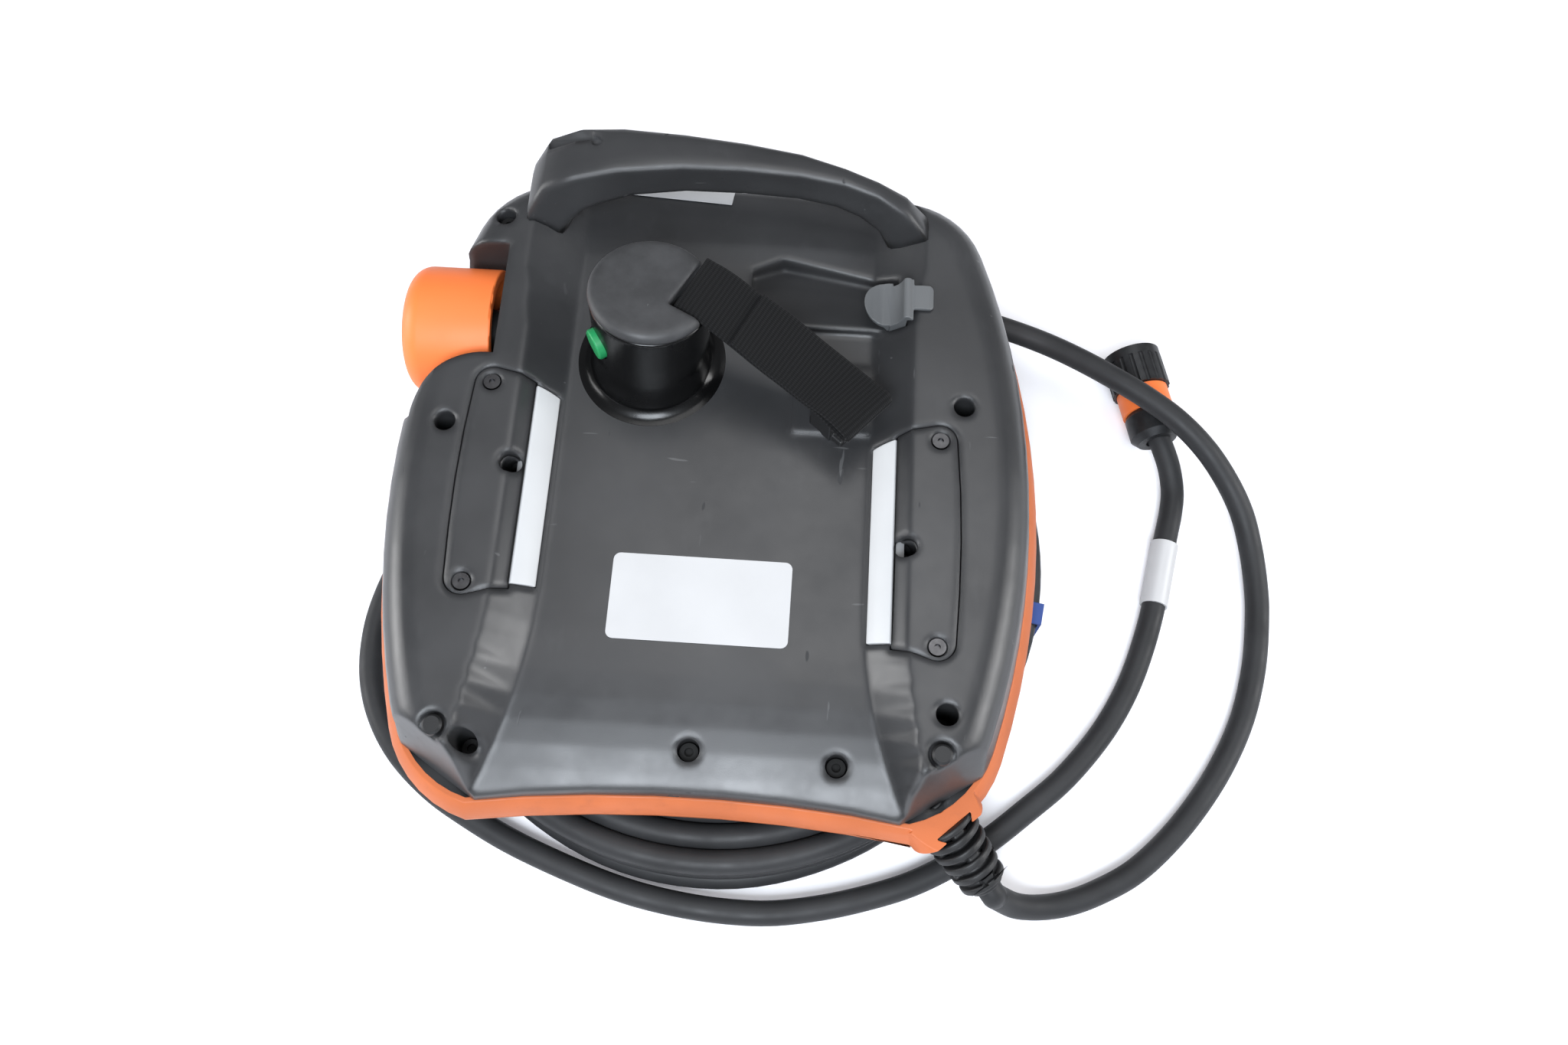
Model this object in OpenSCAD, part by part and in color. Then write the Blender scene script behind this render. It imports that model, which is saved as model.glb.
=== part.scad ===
// Robot teach pendant, lying face down on its own coiled lead.
// Millimetres. +Z points out of the pendant's back, +Y towards the carry handle, z = 0 is the
// surface it lies on. Plan places are taken from the middle line of the housing and then moved by
// 'mid', so that the origin is under the middle of the whole pendant.

/* [Housing] */
// Greatest width across the rim
rim_w = 264; // [250:1:290]
// Reach of the rim's top edge above the datum line
top_y = 168; // [160:1:185]
// Reach of the rim's lower edge below the datum line
low_y = 103.5; // [98:0.5:120]
// Radius of the bowed sides
side_r = 330; // [300:5:500]
// Radius of the upper corners
top_corner_r = 45; // [35:1:55]
// Radius of the lower corners
low_corner_r = 48; // [40:1:55]
// Wall between the front face and the inside
front_wall = 3; // [2:0.5:4]
// Height of the front shell below the rim
front_h = 8; // [7:0.5:10]
// Height of the raised border round the front face
lip_h = 2; // [1.5:0.5:3]
// Width of the raised border round the front face, from the rim's edge
lip_w = 6; // [5:0.5:8]
// Height of the lower rim half
rim_low_h = 4.5; // [3:0.5:6]
// Height of the upper rim half
rim_up_h = 9.5; // [8:0.5:12]
// Width of the rim's section
rim_t = 9; // [7:0.5:10]
// Height of the flat back panel above the rim
panel_rise = 18; // [16:0.5:22]
// Height of the side grips above the rim
grip_rise = 31; // [28:0.5:36]
// Radius of the grips' outer shoulders
shoulder_r = 14; // [8:0.5:16]
// Half width of the flat back panel
panel_half = 61; // [56:0.5:66]
// Distance of the grips' inner fold from the middle
fold_half = 77; // [73:0.5:80]

/* [Screws and feet] */
// Diameter of the deep housing screw holes
screw_hole_d = 8.4; // [7.5:0.1:10]
// Diameter of the housing screw heads
screw_head_d = 7; // [6:0.1:7.4]
// Diameter of the housing screw shanks
screw_d = 4; // [3:0.1:5]
// Diameter of the cover screw heads
cover_head_d = 6.4; // [5:0.1:7]
// Diameter of the cover screw shanks
cover_screw_d = 3; // [2.5:0.1:4]
// Diameter of the rubber feet
foot_d = 7.4; // [6:0.1:9]

/* [Switch covers] */
// Spacing of the two screws of a switch cover
cover_pitch = 82.6; // [76:0.2:88]
// Thickness of a switch cover
cover_t = 5; // [4:0.5:6]
// Place of the left cover along the grip
cover_left_y = 12; // [6:1:16]
// Place of the right cover along the grip
cover_right_y = -2.7; // [-8:0.1:4]
// Travel of an enabling bar to its stop
enable_travel = 3.5; // [2:0.5:4]
// Width of an enabling bar across its slope
bar_w = 10.8; // [9:0.2:11.4]

/* [Handle] */
// Thickness of the handle bar, up and down
handle_t = 19; // [15:0.5:20]
// Height of the handle's crown above the rim
handle_rise = 52; // [48:0.5:57]

/* [Dome grip] */
// Diameter of the dome at its foot
dome_foot_d = 60; // [54:1:64]
// Diameter of the dome under its cap
dome_neck_d = 45; // [40:1:48]
// Height of the dome above the panel
dome_h = 47; // [42:1:52]
// Lean of the dome towards the handle
dome_tilt = 8; // [0:1:10]
// Diameter of the start button
start_d = 12.4; // [10:0.2:14]
// Width of the hand strap
strap_w = 25; // [20:1:28]
// Thickness of the doubled strap
strap_t = 3.6; // [3:0.2:5]

/* [Six-axis mouse] */
// Diameter of the mouse cap
mouse_d = 53; // [46:0.5:55]
// Length of the mouse cap
mouse_l = 38; // [32:0.5:42]
// Push and pull of the mouse from its middle place
mouse_slide = 1; // [0.5:0.1:1.5]

/* [Emergency stop] */
// Diameter of the mushroom head
stop_head_d = 36; // [30:1:37]
// Travel of the mushroom head
stop_travel = 5; // [3:0.5:6]
// Diameter of the stop's stem
stop_stem_d = 16; // [12:0.5:18]

/* [Front keys] */
// Width of a front key
key_w = 24; // [18:0.5:26]
// Height of a front key
key_h = 13; // [11:0.5:15]
// Spacing of the keys in a column
key_pitch = 21; // [19:0.5:22]
// Travel of a front key
key_travel = 0.8; // [0.4:0.1:1]
// Width of the display opening
window_w = 129; // [120:1:134]
// Height of the display opening
window_h = 171; // [160:1:174]

/* [Lead] */
// Diameter of the lead
lead_d = 10; // [8:0.5:12]
// Turns beside each other in the coil
coil_columns = 4; // [3:1:4]
// Layers of the coil
coil_layers = 3; // [2:1:3]
// Outer radius of the coil
coil_r = 132; // [124:1:133]
// Length of the ribbed strain relief
gland_l = 32; // [26:1:38]
// Diameter of the strain relief's first rib
gland_d = 22; // [18:0.5:24]
// Diameter of the plug's coupling nut
nut_d = 25.6; // [23:0.2:28]

/* [Fits] */
// Gap round a piece that moves in an opening
gap = 0.4; // [0.3:0.05:0.6]
// Gap round a piece that is fixed in an opening
seat_gap = 0.2; // [0.1:0.05:0.3]

/* [Hidden] */
$fn = 64;

black = "#3a3b3e";
grey = "#8d9396";
orange = "#f08040";

// Heights of the main planes
coil_pitch = lead_d - 0.1;
coil_top = lead_d + (coil_layers - 1) * coil_pitch;
lip_z = coil_top + seat_gap;
face_z = lip_z + lip_h;
wall_z = face_z + front_wall;
rim_z = lip_z + front_h;
seam_z = rim_z + rim_low_h;
join_z = seam_z + 3.5;
top_z = seam_z + rim_up_h;
panel_z = top_z + panel_rise;
grip_z = top_z + grip_rise;

// Plan outline of the rim
side_y = 20;
top_r = 400;
corner_drop = 7.5;
corner_end = -75.5;
side_c = [rim_w / 2 - side_r, side_y];
top_c = [0, top_y - top_r];
upper_c = circles_meet(side_c, side_r - top_corner_r, top_c, top_r - top_corner_r);
lower_cy = low_corner_r - low_y - corner_drop;
lower_c = [side_c.x + sqrt(pow(side_r - low_corner_r, 2) - pow(lower_cy - side_y, 2)), lower_cy];
corner_p = lower_c + low_corner_r * [cos(corner_end), sin(corner_end)];
arch_sag = -low_y - corner_p.y;
arch_r = (pow(corner_p.x, 2) + pow(arch_sag, 2)) / (2 * arch_sag);
arch_c = [0, -low_y - arch_r];

function circles_meet(a, ra, b, rb) =
    let (d = norm(b - a), u = (b - a) / d, s = (ra * ra - rb * rb + d * d) / (2 * d))
    a + u * s + [-u.y, u.x] * sqrt(ra * ra - s * s);
function angle_to(a, b) = atan2(b.y - a.y, b.x - a.x);
function arc(c, r, a0, a1, n, first = 0) =
    [for (i = [first:n]) c + r * [cos(a0 + (a1 - a0) * i / n), sin(a0 + (a1 - a0) * i / n)]];
function mirrored(pts) = [for (i = [len(pts) - 1:-1:0]) [-pts[i].x, pts[i].y]];
function right_side(d) =
    let (a_low = angle_to(side_c, lower_c), a_up = angle_to(side_c, upper_c),
        a_top = angle_to(top_c, upper_c))
    concat(arc(lower_c, low_corner_r - d, corner_end, a_low, 7),
        arc(side_c, side_r - d, a_low, a_up, 14, 1),
        arc(upper_c, top_corner_r - d, a_up, a_top, 7, 1));
function outline(d) =
    let (right = right_side(d), a_top = angle_to(top_c, upper_c),
        half_arch = asin(corner_p.x / arch_r))
    concat(right,
        [for (i = [1:7]) top_c + (top_r - d) * unit(a_top + (180 - 2 * a_top) * i / 8)],
        mirrored(right),
        [for (i = [1:6]) arch_c + (arch_r + d) * unit(90 + half_arch * (1 - 2 * i / 7))]);
function unit(a) = [cos(a), sin(a)];

// Solid through closed outlines of equal length, lowest first
module skinned(rings) {
    m = len(rings[0]);
    last = len(rings) - 1;
    polyhedron(
        points = [for (r = rings) each r],
        faces = concat([[for (i = [0:m - 1]) i]],
            [for (k = [0:last - 1]) for (i = [0:m - 1])
                [k * m + i, (k + 1) * m + i, (k + 1) * m + (i + 1) % m, k * m + (i + 1) % m]],
            [[for (i = [m - 1:-1:0]) last * m + i]]),
        convexity = 6);
}
module shell_loft(levels)
    skinned([for (l = levels) [for (p = outline(l[1])) [p.x, p.y, l[0]]]]);
module plan(d, z0, z1) translate([0, 0, z0]) linear_extrude(z1 - z0) polygon(outline(d));

// Pendant is moved so the row's origin lies under its middle
mouse_reach = 130.7;
gland_p = [lower_c.x + 23.8, lower_c.y - 36.3, seam_z + 1.1];
gland_tilt = 29;
gland_core_d = 14;
gland_az = -48;
gland_dir = [cos(gland_tilt) * cos(gland_az), cos(gland_tilt) * sin(gland_az), -sin(gland_tilt)];
gland_end = gland_p + gland_l * gland_dir;
gland_low = gland_end.y - gland_core_d / 2 * sqrt(1 - gland_dir.y * gland_dir.y);
mid = [max(0, mouse_reach - rim_w / 2) / 2, (-gland_low - top_y) / 2, 0];
module placed() translate(mid) children();

// Screws: [x, y, seat height, post below]
screw_l = 15;
low_seat = 56;
mid_seat = 59.5;
screws = [[-92.6, 129.8, 72, false], [-103.7, 35.2, low_seat, true], [96.9, 53.4, low_seat, true],
    [91.8, -68.8, low_seat, true], [-80.4, -86.4, low_seat, true], [-0.5, -83.1, low_seat, true],
    [53.9, -85.7, low_seat, true], [-76.6, 19.9, mid_seat, false], [75.9, -5.3, mid_seat, false]];
feet = [[-90.2, -83.3], [90.2, -83.3]];
cover_ys = [cover_left_y, cover_right_y];
fold_a = atan((grip_z - panel_z) / (fold_half - panel_half));
stop_p = [-80.5, 134.5];
stop_lift = 0.4;
mouse_y = 88.5;
mouse_z = 57;
mouse_wall = mouse_reach - mouse_l - 3.5;
mouse_gap = 2;
dome_p = [-28, 73.5];
dome_az = 67;
start_p = [-26.5, 77, 97];
start_az = 212;
tray_low = 62.5;
tray_high = 74;
tray_near = 90.3;
tray_far = 121;
glass_w = window_w + 8;
glass_h = window_h + 8;
window_y = 19.5;
jog_xy = [for (i = [0:5]) [-85, 38 - i * key_pitch]];
override_xy = [[-56, -80], [-26, -80]];
status_xy = [[85.4, 87.5], [85.4, 66.8], [85.4, 36]];
run_xy = [85.4, -8];
back_xy = [85.4, -29];
halt_xy = [85.4, -50];
menu_xy = [20, -80];
board_xy = [72.8, -80];
key_places = concat(jog_xy, override_xy, status_xy, [run_xy, back_xy, halt_xy, menu_xy, board_xy]);
rotor_p = [-30, 135];
release_p = [72, 137];

module tube(d, bore, z0, z1)
    translate([0, 0, z0]) difference() {
        cylinder(d = d, h = z1 - z0);
        translate([0, 0, -1]) cylinder(d = bore, h = z1 - z0 + 2);
    }
module bar(d, z0, z1) translate([0, 0, z0]) cylinder(d = d, h = z1 - z0);
module box(x0, x1, y0, y1, z0, z1) translate([x0, y0, z0]) cube([x1 - x0, y1 - y0, z1 - z0]);
module pair() {
    children();
    mirror([1, 0, 0]) children();
}

// Hollow in the left edge that holds the six-axis mouse
module pocket_plan(g)
    difference() {
        translate([-150, 38 - g]) square([150 - mouse_wall + g, 79 + 2 * g]);
        translate([-mouse_wall - 2, 38]) circle(r = 28 - g);
    }
module pocket(g = 0, z0 = 20, z1 = 100) translate([0, 0, z0]) linear_extrude(z1 - z0) pocket_plan(g);

module mouse_room() {
    pocket();
    translate([-mouse_wall - 1, mouse_y, mouse_z]) rotate([0, -90, 0])
        cylinder(r = mouse_d / 2 + mouse_gap, h = 60);
}

// Sunk panel between the two grips
function panel_floor(y) = panel_z
    - (y < -40 ? 12 * pow((-40 - y) / 62, 2) : 0) - (y > 122 ? 9 * pow((y - 122) / 45, 2) : 0);
function floor_half(y) = panel_half + (y < -20 ? 18.7 * pow((-20 - y) / 82, 2.2) : 0);
function fold_at(y) = fold_half + (y < -20 ? 5 * pow((-20 - y) / 57, 2) : 0)
    + (y > 80 ? 4 * min(1, (y - 80) / 36) : 0);
valley_ys = [-112, -102, -93, -84, -75, -66, -57, -48, -40, -30, -20, 80, 98, 116, 122, 131, 140,
    150, 160, 172];
module valley() {
    z_out = 95;
    skinned_y([for (y = valley_ys)
        let (f = floor_half(y), z = panel_floor(y), s = (z_out - z) / (grip_z - z),
            w = f + (fold_at(y) - f) * s)
        [[-w, y, z_out], [-f, y, z], [f, y, z], [w, y, z_out]]]);
}
module skinned_y(rings) {
    m = len(rings[0]);
    last = len(rings) - 1;
    polyhedron(
        points = [for (r = rings) each r],
        faces = concat([[for (i = [m - 1:-1:0]) i]],
            [for (k = [0:last - 1]) for (i = [0:m - 1]) each
                [[k * m + i, k * m + (i + 1) % m, (k + 1) * m + i],
                [k * m + (i + 1) % m, (k + 1) * m + (i + 1) % m, (k + 1) * m + i]]],
            [[for (i = [0:m - 1]) last * m + i]]),
        convexity = 6);
}
module corner_facet()
    rotate([0, acos(0.272), atan2(-0.810, 0.519)]) translate([-60, -80, 139.5]) cube([120, 160, 60]);

rear_levels = concat([[join_z, rim_t + 0.3], [top_z, rim_t + 0.3], [top_z, 6.5], [top_z + 1, 6.5],
    [top_z + 1.5, 5], [top_z + 16, 8]],
    [for (t = [0:15:90]) [top_z + 17 + shoulder_r * sin(t), 8 + shoulder_r * (1 - cos(t))]]);
module rear_form()
    difference() {
        shell_loft(rear_levels);
        valley();
        intersection() {
            pair() corner_facet();
            translate([-150, -150, top_z + 1]) cube([300, 300, 60]);
        }
    }

// Switch cover: plan grown by g, and a section bent along the fold
function cover_plan(g) = concat(
    [[71.4 - g, -41.5 - g], [77.5, -43.4 - g]],
    arc([87.8, -39.6], 6.8 + g, -115, -5, 7),
    [[95.6 + g, -20], [96 + g, 0], [95.6 + g, 20]],
    arc([87.5, 40.8], 6.8 + g, 5, 110, 7),
    [[77, 45.4 + g], [71.4 - g, 43.8 + g]]);
module cover_solid(side, g, up, down) {
    n = [-sin(fold_a), cos(fold_a)];
    mirror([side < 0 ? 1 : 0, 0, 0]) translate([0, side < 0 ? cover_left_y : cover_right_y, 0])
        intersection() {
            translate([0, 0, 60]) linear_extrude(40) polygon(cover_plan(g));
            rotate([90, 0, 0]) translate([0, 0, -60]) linear_extrude(120) polygon([
                [panel_half, panel_z] + n * up - 4 * [cos(fold_a), sin(fold_a)],
                fold_pt(up), [120, grip_z + up], [120, grip_z - down], fold_pt(-down),
                [panel_half, panel_z] - n * down - 4 * [cos(fold_a), sin(fold_a)]]);
        }
}
function fold_pt(o) = [fold_half - o * tan(fold_a / 2), grip_z + o];
module on_slope(side)
    mirror([side < 0 ? 1 : 0, 0, 0])
        translate([panel_half, side < 0 ? cover_left_y : cover_right_y, panel_z])
            rotate([0, -fold_a, 0]) children();
module bar_shape(g)
    polygon([[2 - g, -38.4 - g], [2 + bar_w + g, -39.6 - g], [2 + bar_w + g, 43 + g], [2 - g, 40.8 + g]]);
bar_deep = 8;
module bar_pocket(side)
    on_slope(side) translate([0, 0, -bar_deep - enable_travel - 1])
        linear_extrude(bar_deep + enable_travel + 4) bar_shape(gap - 0.05);

// Sloping tray with the socket at its right end
tray_drop = (tray_high - tray_low) / (tray_far - tray_near);
function tray_at(y) = tray_high - (y - tray_near) * tray_drop;
module tray_proud()
    translate([10, 0, 0]) rotate([90, 0, 90]) linear_extrude(61) polygon([[tray_near, panel_z - 2],
        [tray_near, tray_high], [tray_near + 14, tray_at(tray_near + 14)], [tray_near + 14, panel_z - 2]]);
module tray_cut()
    intersection() {
        translate([0, 0, 55]) linear_extrude(50) union() {
            polygon([[10, tray_near], [9.8, 118], [22.5, 124.5], [70.4, 113.9], [71, tray_near]]);
            translate([66, 89.6]) square([8, 19.4]);
        }
        rotate([90, 0, 90]) linear_extrude(90) polygon([[tray_near - 1, tray_at(tray_near - 1)],
            [130, tray_at(130)], [130, 100], [tray_near - 1, 100]]);
    }

module gland_frame() translate(gland_p) rotate([0, 90 + gland_tilt, gland_az]) children();
module gland_way() gland_frame() {
    bar(25, 0, 60);
    bar(12.6, -16, 1);
}

module rear_cavity() {
    difference() {
        intersection() {
            union() {
                plan(14, join_z - 1, 54);
                box(-56, 56, -60, 88, 50, 64);
                pair() box(83, 112, -60, 30, 50, 72);
                box(83, 112, 30, 84, 50, 72);
            }
            plan(14, join_z - 1, 80);
        }
        pocket(3, 40, 90);
        for (s = screws) translate([s.x, s.y, 0]) bar(13, 40, 90);
        translate([0, 0, 54]) pair() corner_block();
    }
    translate([stop_p.x, stop_p.y, 0]) bar(24, join_z - 1, 58);
}
module corner_block() translate([70, -130, 0]) cube([70, 75, 40]);

module strap_pad() box(30, panel_half, 44.5, 75, panel_z - 1, panel_z + 1);
module rear_housing() color(black) placed()
    difference() {
        union() {
            rear_form();
            strap_pad();
            tray_proud();
        }
        rear_cavity();
        mouse_room();
        tray_cut();
        box(74, 88.4, 94.3, 107.7, 73.4, 79.8);
        for (side = [-1, 1]) {
            cover_solid(side, gap, 3, cover_t);
            bar_pocket(side);
            for (y = [-1, 1]) translate([side * 87.9, cover_ys[side < 0 ? 0 : 1] + y * cover_pitch / 2, 0])
                bar(cover_screw_d + 0.1, 70, 80);
        }
        for (s = screws) translate([s.x, s.y, 0]) {
            bar(screw_hole_d, s.z, 100);
            bar(screw_d + 0.4, s.z - screw_l - 0.5, s.z + 1);
        }
        for (f = feet) translate([f.x, f.y, 0]) bar(10.3, 80, 90);
        translate([dome_p.x, dome_p.y, 0]) bar(14, 60, 80);
        gland_way();
    }

module front_housing() color(black) placed()
    difference() {
        union() {
            difference() {
                shell_loft([[lip_z, 3.2], [lip_z + 1.5, 1.8], [rim_z, 1.2], [rim_z, rim_t + 0.3],
                    [join_z - seat_gap, rim_t + 0.3]]);
                plan(rim_t + 3.3, wall_z, join_z + 1);
                plan(lip_w, lip_z - 1, face_z);
            }
            intersection() {
                plan(rim_t + 1, wall_z - 1, join_z - seat_gap);
                pocket(2.6, wall_z - 1, join_z - seat_gap);
            }
            for (s = screws) if (s[3]) translate([s.x, s.y, 0]) bar(10, wall_z - 1, join_z - seat_gap);
        }
        mouse_room();
        translate([0, window_y, 0]) box(-window_w / 2, window_w / 2, -window_h / 2, window_h / 2, 20, 40);
        for (k = key_places) translate([k.x, k.y, 0])
            box(-key_w / 2 - gap, key_w / 2 + gap, -key_h / 2 - gap, key_h / 2 + gap, 20, 40);
        for (s = screws) if (s[3]) translate([s.x, s.y, 0]) bar(screw_d + 0.1, 40.5, 50);
        translate([stop_p.x, stop_p.y, 0]) {
            bar(20.6, 20, 50);
            bar(38.8, 20, face_z);
        }
        translate([rotor_p.x, rotor_p.y, 0]) bar(19.4, 20, 50);
        translate([release_p.x, release_p.y, 0]) bar(15, 20, 50);
        gland_way();
    }

module cowl(z0, z1)
    intersection() {
        gland_frame() bar(31, -7, 3);
        translate(gland_p) box(-40, 40, -45, 30, z0 - gland_p.z, z1 - gland_p.z);
    }
module rim_lower() color(orange) placed()
    difference() {
        union() {
            shell_loft([[rim_z, 1.2], [rim_z + 2, 0], [seam_z, 0]]);
            cowl(rim_z, seam_z);
        }
        plan(rim_t, rim_z - 1, seam_z + 1);
        mouse_room();
        gland_way();
    }
module rim_upper() color(orange) placed()
    difference() {
        union() {
            shell_loft([[seam_z, 0], [seam_z + 3.5, 0.9], [seam_z + 7, 2.6], [top_z, 4.5]]);
            cowl(seam_z, top_z);
        }
        plan(rim_t, seam_z - 1, top_z + 1);
        mouse_room();
        gland_way();
    }

module touch_glass() color("#20262c") placed() translate([0, window_y, 0])
    box(-glass_w / 2, glass_w / 2, -glass_h / 2, glass_h / 2, wall_z, wall_z + 2);
module display_module() color(grey) placed() translate([0, window_y, 0]) difference() {
    box(-glass_w / 2 + 1, glass_w / 2 - 1, -glass_h / 2 + 1, glass_h / 2 - 1, wall_z + 2, wall_z + 7);
    pair() for (y = [-80, 80]) translate([60, y, 0]) bar(3, wall_z + 4, wall_z + 8);
}
module main_board() color("#1d6b45") placed() translate([0, window_y, 0]) {
    box(-62, 62, -84, 84, wall_z + 10, wall_z + 11.6);
    pair() for (y = [-80, 80]) translate([60, y, 0]) bar(5, wall_z + 7, wall_z + 10);
    box(-30, -8, -20, 2, wall_z + 11.6, wall_z + 14.6);
    box(10, 34, 10, 34, wall_z + 11.6, wall_z + 15);
    box(-40, 20, -60, -48, wall_z + 11.6, wall_z + 19);
}
module key_board() color("#1d6b45") placed() difference() {
    intersection() {
        plan(rim_t + 4, 30, 50);
        key_strips();
    }
    for (s = screws) if (s[3]) translate([s.x, s.y, 0]) bar(11, 30, 50);
    pair() translate([60, window_y - 80, 0]) bar(6, 30, 50);
}

module key_strips() {
    under = wall_z + key_travel + 3.4;
    box(-99, -72, -90, 46, under, under + 1.6);
    box(72, 99, -90, 96, under, under + 1.6);
    box(-99, 99, -88, -73, under, under + 1.6);
}

// Carry handle: [outer x, outer z, inner x, inner z, near y, far y]
handle_stations = [[-87, 60, -69, 60, 126, 148], [-85.5, 76, -68.5, 75, 126, 152],
    [-83, 88, -64.5, 81, 129, 157.5], [-76, 98.5, -59, 84.5, 132.5, 160.5],
    [-64, 102.8, -52, 86, 135.2, 162.3], [-46, 104, -40, 87, 139.5, 162.6],
    [-20, 104, -19, 87, 143, 161], [5, 103.3, 5, 86.3, 143.9, 158.6],
    [28, 102, 27, 85.5, 143.5, 155.5], [46, 100, 43, 84, 141.8, 151], [60, 97, 53, 82, 138.8, 147.4],
    [72, 91.5, 61, 78.5, 134.5, 145], [82, 82.5, 66.5, 71.5, 128, 142],
    [89, 70, 70, 64, 124.5, 136.5], [91, 58, 71, 56, 124, 136]];
// Half section of the bar, [out, along Y] from -1 to 1: crisp near edge, round far side
handle_section = [[1, -0.9], [1, -0.3], [0.99, 0.3], [0.95, 0.62], [0.84, 0.84], [0.66, 0.97],
    [0.4, 1], [-0.4, 1], [-0.74, 0.9], [-0.93, 0.68], [-1, 0.35], [-1, -0.45], [-0.93, -0.76],
    [-0.76, -0.94], [-0.5, -1], [0.88, -1]];
// Heights in the stations are drawn for a crown at 104 and a bar 17 thick
handle_foot = 60;
function crown(z) = handle_foot + (z - handle_foot) * (top_z + handle_rise - handle_foot) / 44;
function section(s) =
    let (up = crown(s[1]), low = up - (up - crown(s[3])) * handle_t / 17,
        c = [(s[0] + s[2]) / 2, (up + low) / 2], h = [(s[0] - s[2]) / 2, (up - low) / 2],
        cy = (s[4] + s[5]) / 2, w = (s[5] - s[4]) / 2)
    [for (q = handle_section) [c.x + h.x * q[0], cy + w * q[1], c.y + h.y * q[0]]];
module carry_handle() color(black) placed()
    difference() {
        skinned_y([for (s = handle_stations) section(s)]);
        intersection() {
            rear_form();
            box(-140, 140, 100, 180, 40, 90);
        }
        translate([-66.5, 155.5, 106]) rotate([0, 0, 8]) cube([18, 5, 17], center = true);
        translate([-55.3, 154, 0]) bar(5, 101, 110);
        translate([-92.6, 129.8, 0]) bar(screw_hole_d, 50, 120);
    }

module switch_cover(side) color(black) placed()
    difference() {
        cover_solid(side, 0, 0, cover_t);
        bar_pocket(side);
        for (y = [-1, 1]) translate([side * 87.9, cover_ys[side < 0 ? 0 : 1] + y * cover_pitch / 2, 0]) {
            bar(7.6, grip_z - 2.6, 90);
            bar(cover_screw_d + 0.4, 70, 90);
        }
        for (s = screws) if (!s[3]) translate([s.x, s.y, 0]) bar(screw_hole_d, 60, 100);
    }
module switch_cover_left() switch_cover(-1);
module switch_cover_right() switch_cover(1);
module cover_screws() color(grey) placed() for (side = [-1, 1], y = [-1, 1])
    translate([side * 87.9, cover_ys[side < 0 ? 0 : 1] + y * cover_pitch / 2, 0]) difference() {
        union() {
            bar(cover_head_d, grip_z - 2.6, grip_z - 0.4);
            bar(cover_screw_d, 71, grip_z - 2.6);
        }
        bar(2.4, grip_z - 1.6, grip_z);
    }
module housing_screws() color(grey) placed() for (s = screws) translate([s.x, s.y, s.z]) difference() {
    union() {
        bar(screw_head_d, 0, 4);
        bar(screw_d, -screw_l, 0);
    }
    bar(3.4, 2, 5);
}
module rubber_feet() color("#222326") placed() for (f = feet) translate([f.x, f.y, 0]) {
    bar(foot_d, 80, grip_z + 0.2);
    translate([0, 0, grip_z + 0.2]) cylinder(d1 = foot_d, d2 = foot_d - 1.6, h = 0.8);
}

bar_proud = 0.8;
bar_crown_r = 26;
module enabling_bar(side) color("#e9eaea") placed() on_slope(side) intersection() {
    translate([0, 0, -bar_deep]) linear_extrude(bar_deep + bar_proud) bar_shape(0);
    translate([2 + bar_w / 2, 60, bar_proud - bar_crown_r]) rotate([90, 0, 0])
        cylinder(r = bar_crown_r, h = 120, $fn = 120);
}
module enabling_bar_left() enabling_bar(-1);
module enabling_bar_right() enabling_bar(1);

// Grip dome with its cap, start button and third enabling bar
cap_at = dome_h - 6;
cap_edge = 3.5;
dome_r = dome_neck_d / 2;
module dome_frame() translate([dome_p.x, dome_p.y, panel_z]) rotate([0, dome_tilt, dome_az]) children();
module start_frame() translate(start_p) rotate([0, 0, start_az]) rotate([0, 90, 0]) children();
module third_frame() translate([dome_p.x + 1.3, dome_p.y + 3, 0]) rotate([0, 0, 80]) children();
module dome_grip() color(black) placed()
    difference() {
        union() {
            dome_frame() rotate([0, 0, 100]) rotate_extrude($fn = 96) polygon(concat(
                [[0, -6], [dome_r + 2, -6], [dome_r + 2, 2]],
                [for (t = [0:15:90]) [dome_r + 2 - 2 * sin(t), 2 + 11 * t / 90]],
                [[dome_r + 0.6, 24], [dome_r + 1, cap_at - 1], [dome_r + 0.4, cap_at], [0, cap_at]]));
            translate([dome_p.x, dome_p.y, panel_z]) rotate_extrude($fn = 96) polygon(concat(
                [[0, -3], [dome_foot_d / 2 + 1, -3]],
                [for (t = [0:15:90]) [dome_foot_d / 2 - 8 * sin(t), 9 * (1 - cos(t))]], [[0, 9]]));
        }
        box(-80, 20, 20, 130, panel_z - 20, panel_z);
        start_frame() bar(start_d + 0.8, 12, 40);
        third_frame() box(15, 40, -11.4, 11.4, 82, 99);
        translate([dome_p.x, dome_p.y, 0]) bar(12, panel_z - 1, panel_z + 14);
    }
module dome_cap() color(black) placed()
    difference() {
        dome_frame() rotate_extrude($fn = 96) polygon(concat([[0, cap_at], [dome_r + 0.4, cap_at],
            [dome_r + 1.1, cap_at + 0.8]],
            [for (t = [0:15:90])
                [dome_r + 1.3 - cap_edge * (1 - cos(t)), dome_h - cap_edge + (cap_edge - 0.5) * sin(t)]],
            [[0, dome_h]]));
        strap_slot();
    }
module strap_slot() translate([-10.1, 83.3, 0]) rotate([0, 0, -27])
    box(-2.6, 18, -strap_w / 2 - 0.7, strap_w / 2 + 0.7, dome_h + 63.6, dome_h + 80);
module dome_enabling_bar() color("#e9eaea") placed()
    third_frame() intersection() {
        box(18.6, 26, -11, 11, 82.4, 98.6);
        translate([0, 0, 80]) cylinder(r = 25.6, h = 30, $fn = 120);
    }
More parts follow.
